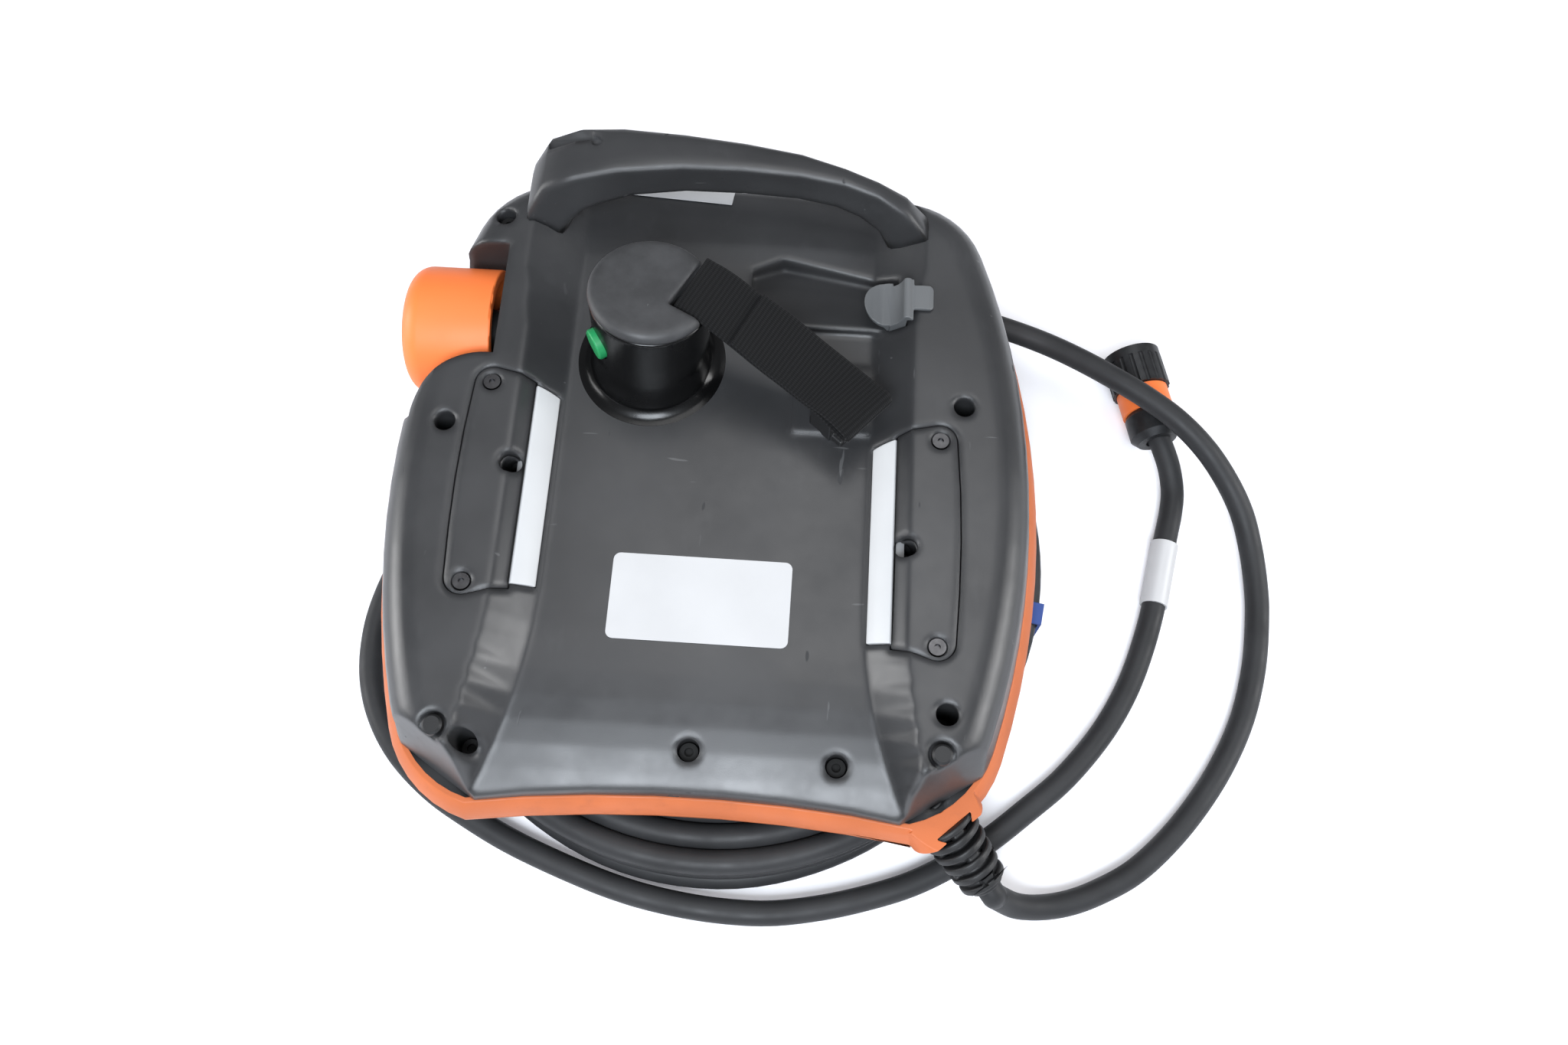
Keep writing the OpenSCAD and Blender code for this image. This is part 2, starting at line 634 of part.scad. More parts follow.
module start_button() color("#1f9a50") placed() start_frame() {
    bar(start_d, 14.6, 24.4);
    translate([0, 0, 24.4]) cylinder(d1 = start_d, d2 = start_d - 1.4, h = 0.7);
}

// Hand strap: [x, y, z of its middle, heading, how far its fold hangs below]
dome_rise = dome_h - 47;
strap_rings = [[-10.9, 83.8, 114.2 + dome_rise, -27, 0], [-7.2, 81.9, 114.4 + dome_rise, -27, 0],
    [-3, 79.7, 114.2 + dome_rise, -27, 0], [4, 76, 111.6 + dome_rise, -27, 0],
    [12, 71.8, 107.4 + dome_rise * 0.7, -27, 0], [21, 67, 103.2 + dome_rise * 0.3, -28, 0],
    [30, 62.2, 98.9, -30, 0], [37, 58.4, 95.5, -33, 0], [42, 55.5, 93.6, -36, 0],
    [46, 52.8, 92.8, -39, 0], [50, 49.8, 92.8, -41, 0], [52.2, 47.9, 92.8, -41.5, 0],
    [53, 47.2, 92.8, -41.5, 2.4], [55.4, 45.1, 92.8, -42, 3.2], [57.4, 43.3, 92.6, -42, 2.8],
    [58.5, 42.3, 91.8, -42, 1]];
function strap_tilt(i) =
    let (a = strap_rings[max(i - 1, 0)], b = strap_rings[min(i + 1, len(strap_rings) - 1)])
    atan2(b.z - a.z, norm([b.x - a.x, b.y - a.y]));
module hand_strap() color("#2b2c2f") placed()
    skinned_y([for (i = [0:len(strap_rings) - 1])
        let (s = strap_rings[i], t = strap_tilt(i), f = unit(s[3]), w = [f.y, -f.x, 0] * strap_w / 2,
            u = [-f.x * sin(t), -f.y * sin(t), cos(t)] * strap_t / 2, c = [s.x, s.y, s.z],
            low = [0, 0, s[4]])
        [c + w * 0.96 - u - low, c + w - u * 0.4 - low, c + w + u * 0.4, c + w * 0.96 + u,
            c - w * 0.96 + u, c - w + u * 0.4, c - w - u * 0.4 - low, c - w * 0.96 - u - low]]);
anchor_top = 91;
module strap_anchor() color(black) placed() difference() {
    translate([49.6, 50.1, 0]) rotate([0, 0, -41]) {
        box(-8.5, 2.2, -9.5, 9.5, panel_z, anchor_top);
        box(-9.5, 7.5, -8.5, 8.5, panel_z, panel_z + 4);
    }
    strap_pad();
}

module usb_socket() color(grey) placed() difference() {
    box(74.2, 88, 94.6, 107.4, 73.6, 79.6);
    box(73, 84, 95, 107, 74.2, 79);
}
// Cap of the socket: a thumb saddle that runs from a wing up to a ridge, and a tab on the grip
cap_face = 73.6;
cap_foot = 74.15;
tab_z = grip_z + 0.5;
saddle = [[56.4, 80.6], [60, 79], [64, 78.2], [67.4, 78.8], [69.8, 80.8], [71.2, 83.4], [72, 85.8],
    [73, 86.4], [74.4, 86.2], [75.4, 85], [79, 85.3], [82.4, 85.2], [84, 84.4], [84, tab_z],
    [cap_face, tab_z], [cap_face, cap_foot], [66, cap_foot], [64.6, 76], [60, 77.2], [56.4, 79.2]];
module usb_cap() color(grey) placed() intersection() {
    translate([0, 130, 0]) rotate([90, 0, 0]) linear_extrude(60) polygon(saddle);
    translate([0, 0, 70]) linear_extrude(20) union() {
        intersection() {
            translate([66, 100.4]) scale([1, 1.03]) circle(r = 9.6, $fn = 96);
            translate([50, 85]) square([18, 30]);
        }
        translate([67, 90.2]) square([9, 18.4]);
        hull() for (y = [97, 104]) translate([82, y]) circle(r = 2);
        translate([73, 95]) square([9, 11]);
    }
}

// Six-axis mouse on its stem, all turned about an axis along X
module mouse_frame() translate([0, mouse_y, mouse_z]) rotate([0, -90, 0]) children();
mouse_foot = mouse_wall + 3;
mouse_root = mouse_reach - 21.5;
mouse_pin = mouse_reach - 15.5;
carrier_end = mouse_reach - 6;
carrier_bore = mouse_reach - 11.3;
module mouse_base() color(black) placed() {
    mouse_frame() {
        bar(28, mouse_wall, mouse_foot);
        bar(20, mouse_foot, mouse_root);
        bar(12, mouse_root, mouse_pin);
    }
    box(-mouse_wall - 1.2, -mouse_wall, 76, 113, 44, 70);
}
module mouse_carrier() color(grey) placed() mouse_frame() difference() {
    bar(40, mouse_root + mouse_slide + 0.5, carrier_end);
    bar(12.8, mouse_root, mouse_pin + mouse_slide + 0.7);
    bar(11, carrier_bore, carrier_end + 0.5);
}
module mouse_cap() color(orange) placed() mouse_frame() {
    far = mouse_reach;
    near = mouse_reach - mouse_l;
    rotate_extrude($fn = 120) polygon(concat([[mouse_d / 2 - 3.5, near], [mouse_d / 2 - 0.8, near],
        [mouse_d / 2, near + 0.8]],
        [for (t = [0:10:80]) [mouse_d / 2 - 9 + 9 * cos(t), far - 9 + 8.4 * sin(t)]],
        [[10, far - 0.2], [0, far], [0, far - 3.5], [mouse_d / 2 - 9, far - 3.5],
        [mouse_d / 2 - 5, far - 5], [mouse_d / 2 - 3.5, far - 9]]));
    bar(10, carrier_bore + 0.8, far - 3);
}

module at_stop() translate([stop_p.x, stop_p.y, 0]) children();
stop_head_h = 13;
stem_top = 41;
module stop_collar() color("#e0b820") placed() at_stop() {
    tube(38, stop_stem_d + 1, stop_head_h + stop_travel + 6, face_z);
    tube(20, stop_stem_d + 1, face_z, stem_top + 1);
}
module stop_stem() color(grey) placed() at_stop() bar(stop_stem_d, stop_head_h + stop_lift, stem_top);
module stop_head() color("#c42a22") placed() at_stop()
    translate([0, 0, stop_lift]) rotate_extrude($fn = 96) polygon(concat([[0, 0]],
        [for (t = [90:-15:0]) [stop_head_d / 2 - 4 + 4 * cos(t), 4 - 4 * sin(t)]],
        [[stop_head_d / 2, 10], [stop_head_d / 2 - 3, stop_head_h], [0, stop_head_h]]));
module stop_switch() color(grey) placed() at_stop() difference() {
    bar(22, stem_top + 1, 56.4);
    bar(stop_stem_d + 1, stem_top, stem_top + stop_travel + 2);
}

module key_switch() color(grey) placed() translate([rotor_p.x, rotor_p.y, 0]) {
    difference() {
        bar(19, 31, 50);
        bar(10.6, 30, 44);
    }
    tube(24, 19, wall_z, wall_z + 3);
}
module key_rotor() color(grey) placed() translate([rotor_p.x, rotor_p.y, 0]) difference() {
    bar(10, 31.4, 43.6);
    box(-0.9, 0.9, -3.8, 3.8, 30, 37);
}
module release_button() color(grey) placed() translate([release_p.x, release_p.y, 0]) {
    bar(14, 30.7, 40);
    bar(18, wall_z + 0.4, wall_z + 2);
}

module key_cap(p, tone) color(tone) placed() translate([p.x, p.y, 0]) {
    box(-key_w / 2, key_w / 2, -key_h / 2, key_h / 2, 31.4, wall_z + 2);
    box(-key_w / 2 + 1, key_w / 2 - 1, -key_h / 2 + 1, key_h / 2 - 1, 30.7, 32);
    box(-key_w / 2 - 1.2, key_w / 2 + 1.2, -key_h / 2 - 1.2, key_h / 2 + 1.2, wall_z + 0.8, wall_z + 2);
}
module jog_key_1() key_cap(jog_xy[0], grey);
module jog_key_2() key_cap(jog_xy[1], grey);
module jog_key_3() key_cap(jog_xy[2], grey);
module jog_key_4() key_cap(jog_xy[3], grey);
module jog_key_5() key_cap(jog_xy[4], grey);
module jog_key_6() key_cap(jog_xy[5], grey);
module override_key_1() key_cap(override_xy[0], grey);
module override_key_2() key_cap(override_xy[1], grey);
module status_key_1() key_cap(status_xy[0], grey);
module status_key_2() key_cap(status_xy[1], grey);
module status_key_3() key_cap(status_xy[2], grey);
module run_key() key_cap(run_xy, "#1f9a50");
module back_key() key_cap(back_xy, grey);
module halt_key() key_cap(halt_xy, "#c42a22");
module menu_key() key_cap(menu_xy, grey);
module keyboard_key() key_cap(board_xy, grey);

// Ribbed strain relief
module cable_gland() color("#232427") placed() gland_frame() difference() {
    union() {
        bar(12, -9, 0);
        bar(24, 0, 2.5);
        bar(gland_core_d, 2, gland_l);
        for (i = [0:4]) bar(gland_d + 0.6 - i, 5 + i * 5.4, 8 + i * 5.4);
        for (i = [0:4]) rotate([0, 0, i % 2 * 90]) translate([-9, -2.5, 2 + i * 5.4]) cube([18, 5, 3.6]);
    }
    bar(lead_d, 6, gland_l + 1);
}

// Lead: loop from the gland, round coil, and the run to the plug
coil_c = [5, 9];
tie_t = 1.2;
loop_route = [gland_end - 16 * gland_dir, gland_end - 6 * gland_dir, [112.4, -118.4, 27.6],
    [119, -123.5, 20], [128, -125.6, 12], [139, -125, 7], [150, -122.5, 5.2], [161, -118, 5],
    [175, -110, 5], [188, -98.5, 5], [201, -83.5, 5], [213.5, -65, 5], [223.5, -44.5, 5],
    [230, -22, 5], [233, 0, 5], [233.2, 14, 6], [231.3, 30, 8.5], [227, 45, 13], [219, 57.5, 19.5],
    [208.5, 69, 26], [196, 79.5, 30.5], [182.5, 89, 32], [168.5, 98.5, 31], [154.5, 108, 28.5],
    [140.5, 116, 26.3], [125, 122.5, 25], [108, 127.5, 24.8], [90, 131.2, 24.8], [72, 133.6, 24.8],
    [54, 134, 24.8], [36, 132, 24.8]];
tail_route = [[-114.3, 52.4, 5], [-122, 36, 5], [-129, 20, 5], [-135, 4, 5], [-139.5, -12, 5],
    [-141.5, -28, 5], [-140, -46, 5], [-134, -63, 5], [-123, -79, 5], [-107, -93, 5],
    [-89, -103.6, 5], [-69.5, -113, 5], [-43, -124, 5], [-23, -130.2, 5], [-4, -134, 5],
    [14, -136, 5], [32, -135.6, 5], [50, -132.4, 5], [68.5, -127, 5], [87.5, -119.5, 5],
    [105, -109.5, 5], [120, -98.8, 5], [134, -87, 5], [147, -75.5, 5], [158.5, -62.5, 5],
    [168.5, -48.5, 5], [176.8, -33, 5], [183, -17, 5.3], [188, 0, 6], [191.6, 17, 6], [195.2, 34, 6],
    [198, 46, 6], [199.2, 56, 6.5], [197.5, 66, 9.5], [194.2, 74.5, 12.5], [191.4, 81, 13.4]];
plug_p = [190, 84, 13.4];
plug_az = 104;

function heading(p, i) = let (v = p[min(i + 1, len(p) - 1)] - p[max(i - 1, 0)]) v / norm(v);
module lead(p) {
    n = 12;
    skinned_y([for (i = [0:len(p) - 1])
        let (h = heading(p, i), s = [h.y, -h.x, 0] / norm([h.x, h.y]), u = cross(s, h))
        [for (k = [0:n - 1]) p[i] + lead_d / 2 * (s * cos(360 * k / n) + u * sin(360 * k / n))]]);
}
module cable_loop() color("#3c3d40") placed() lead(loop_route);
module cable_tail() color("#3c3d40") placed() lead(tail_route);
module cable_coil() color("#3c3d40") placed() translate(coil_c) rotate_extrude($fn = 144)
    for (i = [0:coil_columns - 1], k = [0:coil_layers - 1])
        translate([coil_r - lead_d / 2 - i * coil_pitch, lead_d / 2 + k * coil_pitch])
            circle(d = lead_d, $fn = 48);
module coil_tie() color("#4a68c8") placed() translate(coil_c) rotate([0, 0, -9]) {
    w = coil_columns * coil_pitch + 0.1;
    translate([coil_r - w / 2, 0, 0]) difference() {
        box(-w / 2 - tie_t, w / 2 + tie_t, -4.5, 4.5, 0, coil_top);
        box(-w / 2, w / 2, -5, 5, tie_t, coil_top - tie_t);
    }
}
module cable_sleeve() color("#e4e4e2") placed()
    translate([191.6, 17, 6]) rotate([0, 0, 78]) rotate([0, 90, 0])
        tube(11.8, lead_d - 0.2, -14.5, 14.5);

// Round plug, its axis lying flat
barrel_d = 16;
barrel_near = 25.5;
barrel_far = 33;
module plug_frame() translate(plug_p) rotate([0, 0, plug_az]) rotate([0, 90, 0]) children();
module plug_shell() color(grey) placed() plug_frame() difference() {
    union() {
        translate([0, 0, -7]) cylinder(d1 = 17, d2 = 22, h = 3);
        bar(22, -4, 5);
        translate([0, 0, 5]) cylinder(d1 = 22, d2 = 20, h = 2);
        bar(barrel_d - 0.8, 7, barrel_near + 0.5);
        bar(barrel_d, barrel_near, barrel_far);
    }
    bar(lead_d, -8, -3);
    bar(13, 24, barrel_far + 1);
}
module plug_ring() color(orange) placed() plug_frame() tube(22.6, barrel_d - 0.7, 7, 17.6);
module plug_nut() color(grey) placed() plug_frame() difference() {
    bar(nut_d, 18, 36);
    bar(16.7, 17, 25);
    bar(21.5, 24, 37);
    for (i = [0:17]) rotate([0, 0, 20 * i]) translate([nut_d / 2 + 0.6, 0, 17])
        cylinder(d = 2.4, h = 15, $fn = 24);
}
module plug_insert() color("#1d1e20") placed() plug_frame() {
    bar(12.8, 24, 31);
    for (i = [0:7]) rotate([0, 0, 45 * i]) translate([4, 0, 30]) cylinder(d = 1.4, h = 4.5, $fn = 16);
}

rear_housing();
front_housing();
rim_upper();
rim_lower();
touch_glass();
display_module();
main_board();
key_board();
carry_handle();
switch_cover_left();
switch_cover_right();
enabling_bar_left();
enabling_bar_right();
dome_grip();
dome_cap();
dome_enabling_bar();
start_button();
hand_strap();
strap_anchor();
usb_socket();
usb_cap();
cover_screws();
housing_screws();
rubber_feet();
mouse_base();
mouse_carrier();
mouse_cap();
stop_collar();
stop_stem();
stop_head();
stop_switch();
key_switch();
key_rotor();
release_button();
jog_key_1();
jog_key_2();
jog_key_3();
jog_key_4();
jog_key_5();
jog_key_6();
override_key_1();
override_key_2();
menu_key();
keyboard_key();
status_key_1();
status_key_2();
status_key_3();
run_key();
back_key();
halt_key();
cable_gland();
cable_loop();
cable_tail();
cable_coil();
coil_tie();
cable_sleeve();
plug_shell();
plug_ring();
plug_nut();
plug_insert();
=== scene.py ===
"""A robot teach pendant lying face down on its coiled lead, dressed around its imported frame."""

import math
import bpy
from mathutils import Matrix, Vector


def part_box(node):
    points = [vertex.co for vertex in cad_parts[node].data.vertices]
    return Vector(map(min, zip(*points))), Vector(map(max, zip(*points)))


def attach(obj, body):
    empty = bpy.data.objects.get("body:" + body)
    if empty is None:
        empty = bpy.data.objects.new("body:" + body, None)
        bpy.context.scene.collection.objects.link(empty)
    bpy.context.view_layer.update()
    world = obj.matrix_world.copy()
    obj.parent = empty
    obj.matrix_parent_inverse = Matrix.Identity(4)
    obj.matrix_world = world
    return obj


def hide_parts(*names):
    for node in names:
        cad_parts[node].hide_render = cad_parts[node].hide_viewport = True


bl_info = {
    "name": "Teach Pendant",
    "version": (1, 0, 0),
    "blender": (4, 5, 0),
    "location": "3D View > Sidebar > Pendant",
    "description": "Dresses a teach pendant with its lead, strap, bare labels and finishes",
    "category": "Object",
}

import bmesh
import bpy
from bpy.props import FloatProperty, FloatVectorProperty, PointerProperty
from mathutils import Matrix, Vector

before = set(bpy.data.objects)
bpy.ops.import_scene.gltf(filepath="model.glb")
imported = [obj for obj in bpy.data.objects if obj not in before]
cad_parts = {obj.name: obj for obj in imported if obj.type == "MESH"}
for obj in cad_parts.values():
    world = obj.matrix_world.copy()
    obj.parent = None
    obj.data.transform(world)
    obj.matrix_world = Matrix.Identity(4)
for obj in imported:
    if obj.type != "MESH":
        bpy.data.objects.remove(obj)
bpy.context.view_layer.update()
MM = 0.001

# How far the rim reaches behind the housing's middle
RIM_REACH = 0.168
# The part's plan places are taken from the housing's middle; this moves them to the row's origin
RIM_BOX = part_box("rim_upper")
MID = Vector(((RIM_BOX[0].x + RIM_BOX[1].x) / 2, RIM_BOX[1].y - RIM_REACH, 0))


def at(x, y, z):
    """A place given in millimetres from the housing's middle line, as a point of the row."""
    return Vector((x * MM, y * MM, z * MM)) + MID


class PendantSizes(bpy.types.PropertyGroup):
    """Sizes of what is added to the frame."""

    lead_d: FloatProperty(name="Lead", description="Diameter of the lead", default=0.010, unit="LENGTH")
    coil_r: FloatProperty(name="Coil", description="Outer radius of the coil", default=0.132, unit="LENGTH")
    coil_pitch: FloatProperty(name="Turn pitch", description="From one turn to the next", default=0.0099, unit="LENGTH")
    label_w: FloatProperty(name="Label width", description="Width of the bare label", default=0.0683, unit="LENGTH")
    label_h: FloatProperty(name="Label height", description="Height of the bare label", default=0.034, unit="LENGTH")
    strap_w: FloatProperty(name="Strap", description="Width of the hand strap", default=0.025, unit="LENGTH")


class PendantColours(bpy.types.PropertyGroup):
    """Colours of the finishes."""

    shell: FloatVectorProperty(name="Shell", description="Moulded housing", subtype="COLOR",
                               default=(0.034, 0.0344, 0.0360))
    rim: FloatVectorProperty(name="Rim", description="Soft rim", subtype="COLOR", default=(0.52, 0.128, 0.034))
    cap: FloatVectorProperty(name="Mouse", description="Mouse cap", subtype="COLOR", default=(0.92, 0.20, 0.045))
    bar: FloatVectorProperty(name="Bars", description="Enabling bars", subtype="COLOR", default=(0.55, 0.555, 0.56))
    grey: FloatVectorProperty(name="Grey", description="Small grey parts", subtype="COLOR", default=(0.16, 0.165, 0.17))
    jacket: FloatVectorProperty(name="Lead", description="Jacket of the lead", subtype="COLOR",
                                default=(0.028, 0.0285, 0.030))


# ---------------------------------------------------------------- materials


class Finish:
    """A node material, built step by step."""

    def __init__(self, name, colour, rough, **sockets):
        self.material = bpy.data.materials.new(name)
        self.material.use_nodes = True
        self.tree = self.material.node_tree
        self.shader = self.tree.nodes["Principled BSDF"]
        self.shader.inputs["Base Color"].default_value = (*colour, 1)
        self.shader.inputs["Roughness"].default_value = rough
        for key, value in sockets.items():
            self.shader.inputs[key.replace("_", " ")].default_value = value
        self.place = self.node("ShaderNodeTexCoord").outputs["Object"]
        self.normal = None
        self.colour = colour
        self.rough = rough

    def node(self, kind, inputs=None, **settings):
        made = self.tree.nodes.new(kind)
        for key, value in settings.items():
            setattr(made, key, value)
        for key, value in (inputs or {}).items():
            self.feed(made.inputs[key], value)
        return made

    def feed(self, socket, value):
        if isinstance(value, bpy.types.NodeSocket):
            self.tree.links.new(value, socket)
        else:
            socket.default_value = value

    def noise(self, scale, detail=2.0, stretch=(1, 1, 1), roughness=0.5):
        """Noise between 0 and 1, with scale in features per metre."""
        place = self.node("ShaderNodeMapping", {"Vector": self.place, "Scale": stretch}).outputs[0]
        made = self.node("ShaderNodeTexNoise",
                         {"Vector": place, "Scale": scale, "Detail": detail, "Roughness": roughness})
        return made.outputs["Fac"]

    def ramp(self, value, low, high, start=0.0, end=1.0):
        made = self.node("ShaderNodeMapRange",
                         {"Value": value, "From Min": low, "From Max": high, "To Min": start, "To Max": end})
        return made.outputs[0]

    def times(self, value, factor):
        return self.node("ShaderNodeMath", {0: value, 1: factor}, operation="MULTIPLY").outputs[0]

    def mixed(self, factor, first, second):
        made = self.node("ShaderNodeMix", data_type="RGBA")
        for socket, value in zip((made.inputs[0], made.inputs[6], made.inputs[7]), (factor, first, second)):
            self.feed(socket, (*value, 1) if isinstance(value, tuple) and len(value) == 3 else value)
        return made.outputs[2]

    def bump(self, height, distance, strength=1.0):
        inputs = {"Height": height, "Distance": distance, "Strength": strength}
        if self.normal is not None:
            inputs["Normal"] = self.normal
        self.normal = self.node("ShaderNodeBump", inputs).outputs[0]
        self.feed(self.shader.inputs["Normal"], self.normal)

    def blended(self, radius):
        """Shades facets that meet within this radius as one soft surface."""
        self.normal = self.node("ShaderNodeBevel", {"Radius": radius}, samples=8).outputs[0]
        self.feed(self.shader.inputs["Normal"], self.normal)

    def paint(self, value):
        self.feed(self.shader.inputs["Base Color"], value)

    def gloss(self, value):
        self.feed(self.shader.inputs["Roughness"], value)


def tone(colour, factor):
    return tuple(min(1.0, c * factor) for c in colour)


def moulded(name, colour, rough, grain=0.00002, wear=0.5, cloud=0.2, specular=0.5):
    """Moulded plastic: fine grain, faint clouds of handling and fine scratches."""
    f = Finish(name, colour, rough, Specular_IOR_Level=specular)
    grain_noise = f.noise(2600, 2)
    clouds = f.noise(28, 3)
    f.paint(f.mixed(f.ramp(clouds, 0.3, 0.7), tone(colour, 1 - cloud), tone(colour, 1 + cloud)))
    scratches = f.ramp(f.noise(190, 2, (1, 0.06, 1), 0.6), 0.70, 0.76)
    smears = f.ramp(f.noise(60, 4), 0.35, 0.7)
    f.gloss(f.ramp(smears, 0, 1, rough - 0.05, rough + 0.07))
    f.bump(grain_noise, grain)
    if wear:
        f.bump(f.times(scratches, wear), -0.00003)
    return f.material


def worn_shell(name, colour):
    """The housing's black plastic: satin, with polished clouds, pale rubs and hair scratches."""
    f = Finish(name, colour, 0.42)
    f.blended(0.0045)
    clouds = f.noise(22, 4)
    scuffs = f.ramp(f.noise(75, 5, (1, 0.5, 1), 0.62), 0.60, 0.74)
    hairs = f.ramp(f.noise(260, 2, (0.16, 1, 1), 0.6), 0.735, 0.765)
    hairs_across = f.ramp(f.noise(230, 2, (1, 0.14, 1), 0.6), 0.745, 0.775)
    hair = f.node("ShaderNodeMath", {0: hairs, 1: hairs_across}, operation="MAXIMUM").outputs[0]
    marks = f.ramp(f.noise(230, 1, (1, 0.3, 1), 0.5), 0.76, 0.775)
    base = f.mixed(f.ramp(clouds, 0.3, 0.7), tone(colour, 0.85), tone(colour, 1.2))
    scuffed = f.mixed(f.times(scuffs, 0.25), base, tone(colour, 1.7))
    f.paint(f.mixed(f.times(hair, 0.3), scuffed, (0.17, 0.172, 0.175)))
    smears = f.ramp(f.noise(48, 5, roughness=0.6), 0.35, 0.68)
    f.gloss(f.ramp(marks, 0, 1, f.ramp(smears, 0, 1, 0.28, 0.38), 0.8))
    f.bump(f.noise(2400, 2), 0.000014)
    f.bump(hair, -0.00002, 0.6)
    f.bump(marks, -0.00004, 0.8)
    return f.material


def rubbed(name, colour):
    """Matt crown rubbed by the palm, with pale dull patches and nicks towards its edge."""
    f = Finish(name, colour, 0.5)
    f.blended(0.0035)
    patches = f.ramp(f.noise(46, 5, roughness=0.62), 0.42, 0.68)
    nicks = f.ramp(f.noise(340, 3, (1, 0.5, 1), 0.6), 0.71, 0.76)
    base = f.mixed(f.ramp(patches, 0, 1, 0, 0.6), tone(colour, 0.85), tone(colour, 1.7))
    f.paint(f.mixed(f.ramp(nicks, 0, 1, 0, 0.6), base, (0.22, 0.22, 0.22)))
    f.gloss(f.ramp(f.noise(70, 4), 0.3, 0.7, 0.42, 0.58))
    f.bump(f.noise(2000, 2), 0.00002)
    return f.material


def soft_rim(name, colour):
    f = Finish(name, colour, 0.55)
    clouds = f.noise(34, 4)
    dirt = f.ramp(f.noise(120, 5, roughness=0.65), 0.56, 0.74)
    base = f.mixed(f.ramp(clouds, 0.3, 0.7), tone(colour, 0.9), tone(colour, 1.08))
    f.paint(f.mixed(f.times(dirt, 0.3), base, (0.30, 0.085, 0.035)))
    f.gloss(f.ramp(f.noise(60, 3), 0.3, 0.7, 0.48, 0.62))
    f.bump(f.noise(1500, 3), 0.00003)
    return f.material


def cord_jacket(name, colour):
    """Matt jacket with faint clouds and a fine grain."""
    f = Finish(name, colour, 0.5, Specular_IOR_Level=0.25)
    clouds = f.noise(40, 4)
    f.paint(f.mixed(f.ramp(clouds, 0.3, 0.7), tone(colour, 0.82), tone(colour, 1.22)))
    f.gloss(f.ramp(f.noise(90, 3), 0.3, 0.7, 0.44, 0.6))
    f.bump(f.noise(1900, 3), 0.00003)
    return f.material


def webbing(name, colour):
    """Woven band: ribs across it and a fine twill, with painted shade in its grooves and painted highlight on its ribs,
    on its own UV map in metres.
    """
    f = Finish(name, colour, 0.85, Sheen_Weight=0.04, Sheen_Roughness=0.5, Specular_IOR_Level=0.2)
    uv = f.node("ShaderNodeUVMap", uv_map="UVMap").outputs[0]
    ribs = f.node("ShaderNodeTexWave", {"Vector": uv, "Scale": 190.0, "Distortion": 0.4, "Detail": 1.0},
                  wave_type="BANDS", bands_direction="X").outputs["Fac"]
    threads = f.node("ShaderNodeTexWave", {"Vector": uv, "Scale": 420.0, "Distortion": 0.8, "Detail": 2.0},
                     wave_type="BANDS", bands_direction="Y").outputs["Fac"]
    # The band is painted darker where ribs and threads sink and lighter on their raised tops: painted shade and painted
    # highlight of the weave
    weave_shade_and_highlight = f.times(ribs, threads)
    f.paint(f.mixed(weave_shade_and_highlight, tone(colour, 0.5), tone(colour, 1.7)))
    f.bump(ribs, 0.00028, 0.9)
    f.bump(threads, 0.00012, 0.8)
    return f.material


def brushed(name, colour, rough, metallic=1.0):
    f = Finish(name, colour, rough, Metallic=metallic)
    f.paint(f.mixed(f.ramp(f.noise(300, 4), 0.3, 0.7), tone(colour, 0.75), tone(colour, 1.15)))
    f.gloss(f.ramp(f.noise(180, 3), 0.3, 0.7, rough - 0.08, rough + 0.1))
    f.bump(f.noise(2400, 2), 0.00002)
    return f.material


def glassy(name, colour):
    f = Finish(name, colour, 0.08)
    f.gloss(f.ramp(f.noise(40, 4), 0.4, 0.7, 0.05, 0.14))
    return f.material


def bare_film(name):
    """Bare label: white film with a faint sheen and faint clouds."""
    f = Finish(name, (0.52, 0.52, 0.52), 0.38)
    f.paint(f.mixed(f.ramp(f.noise(45, 4), 0.35, 0.7), (0.50, 0.50, 0.505), (0.54, 0.54, 0.545)))
    f.gloss(f.ramp(f.noise(90, 3), 0.3, 0.7, 0.32, 0.46))
    f.bump(f.noise(500, 2), 0.00001)
    return f.material


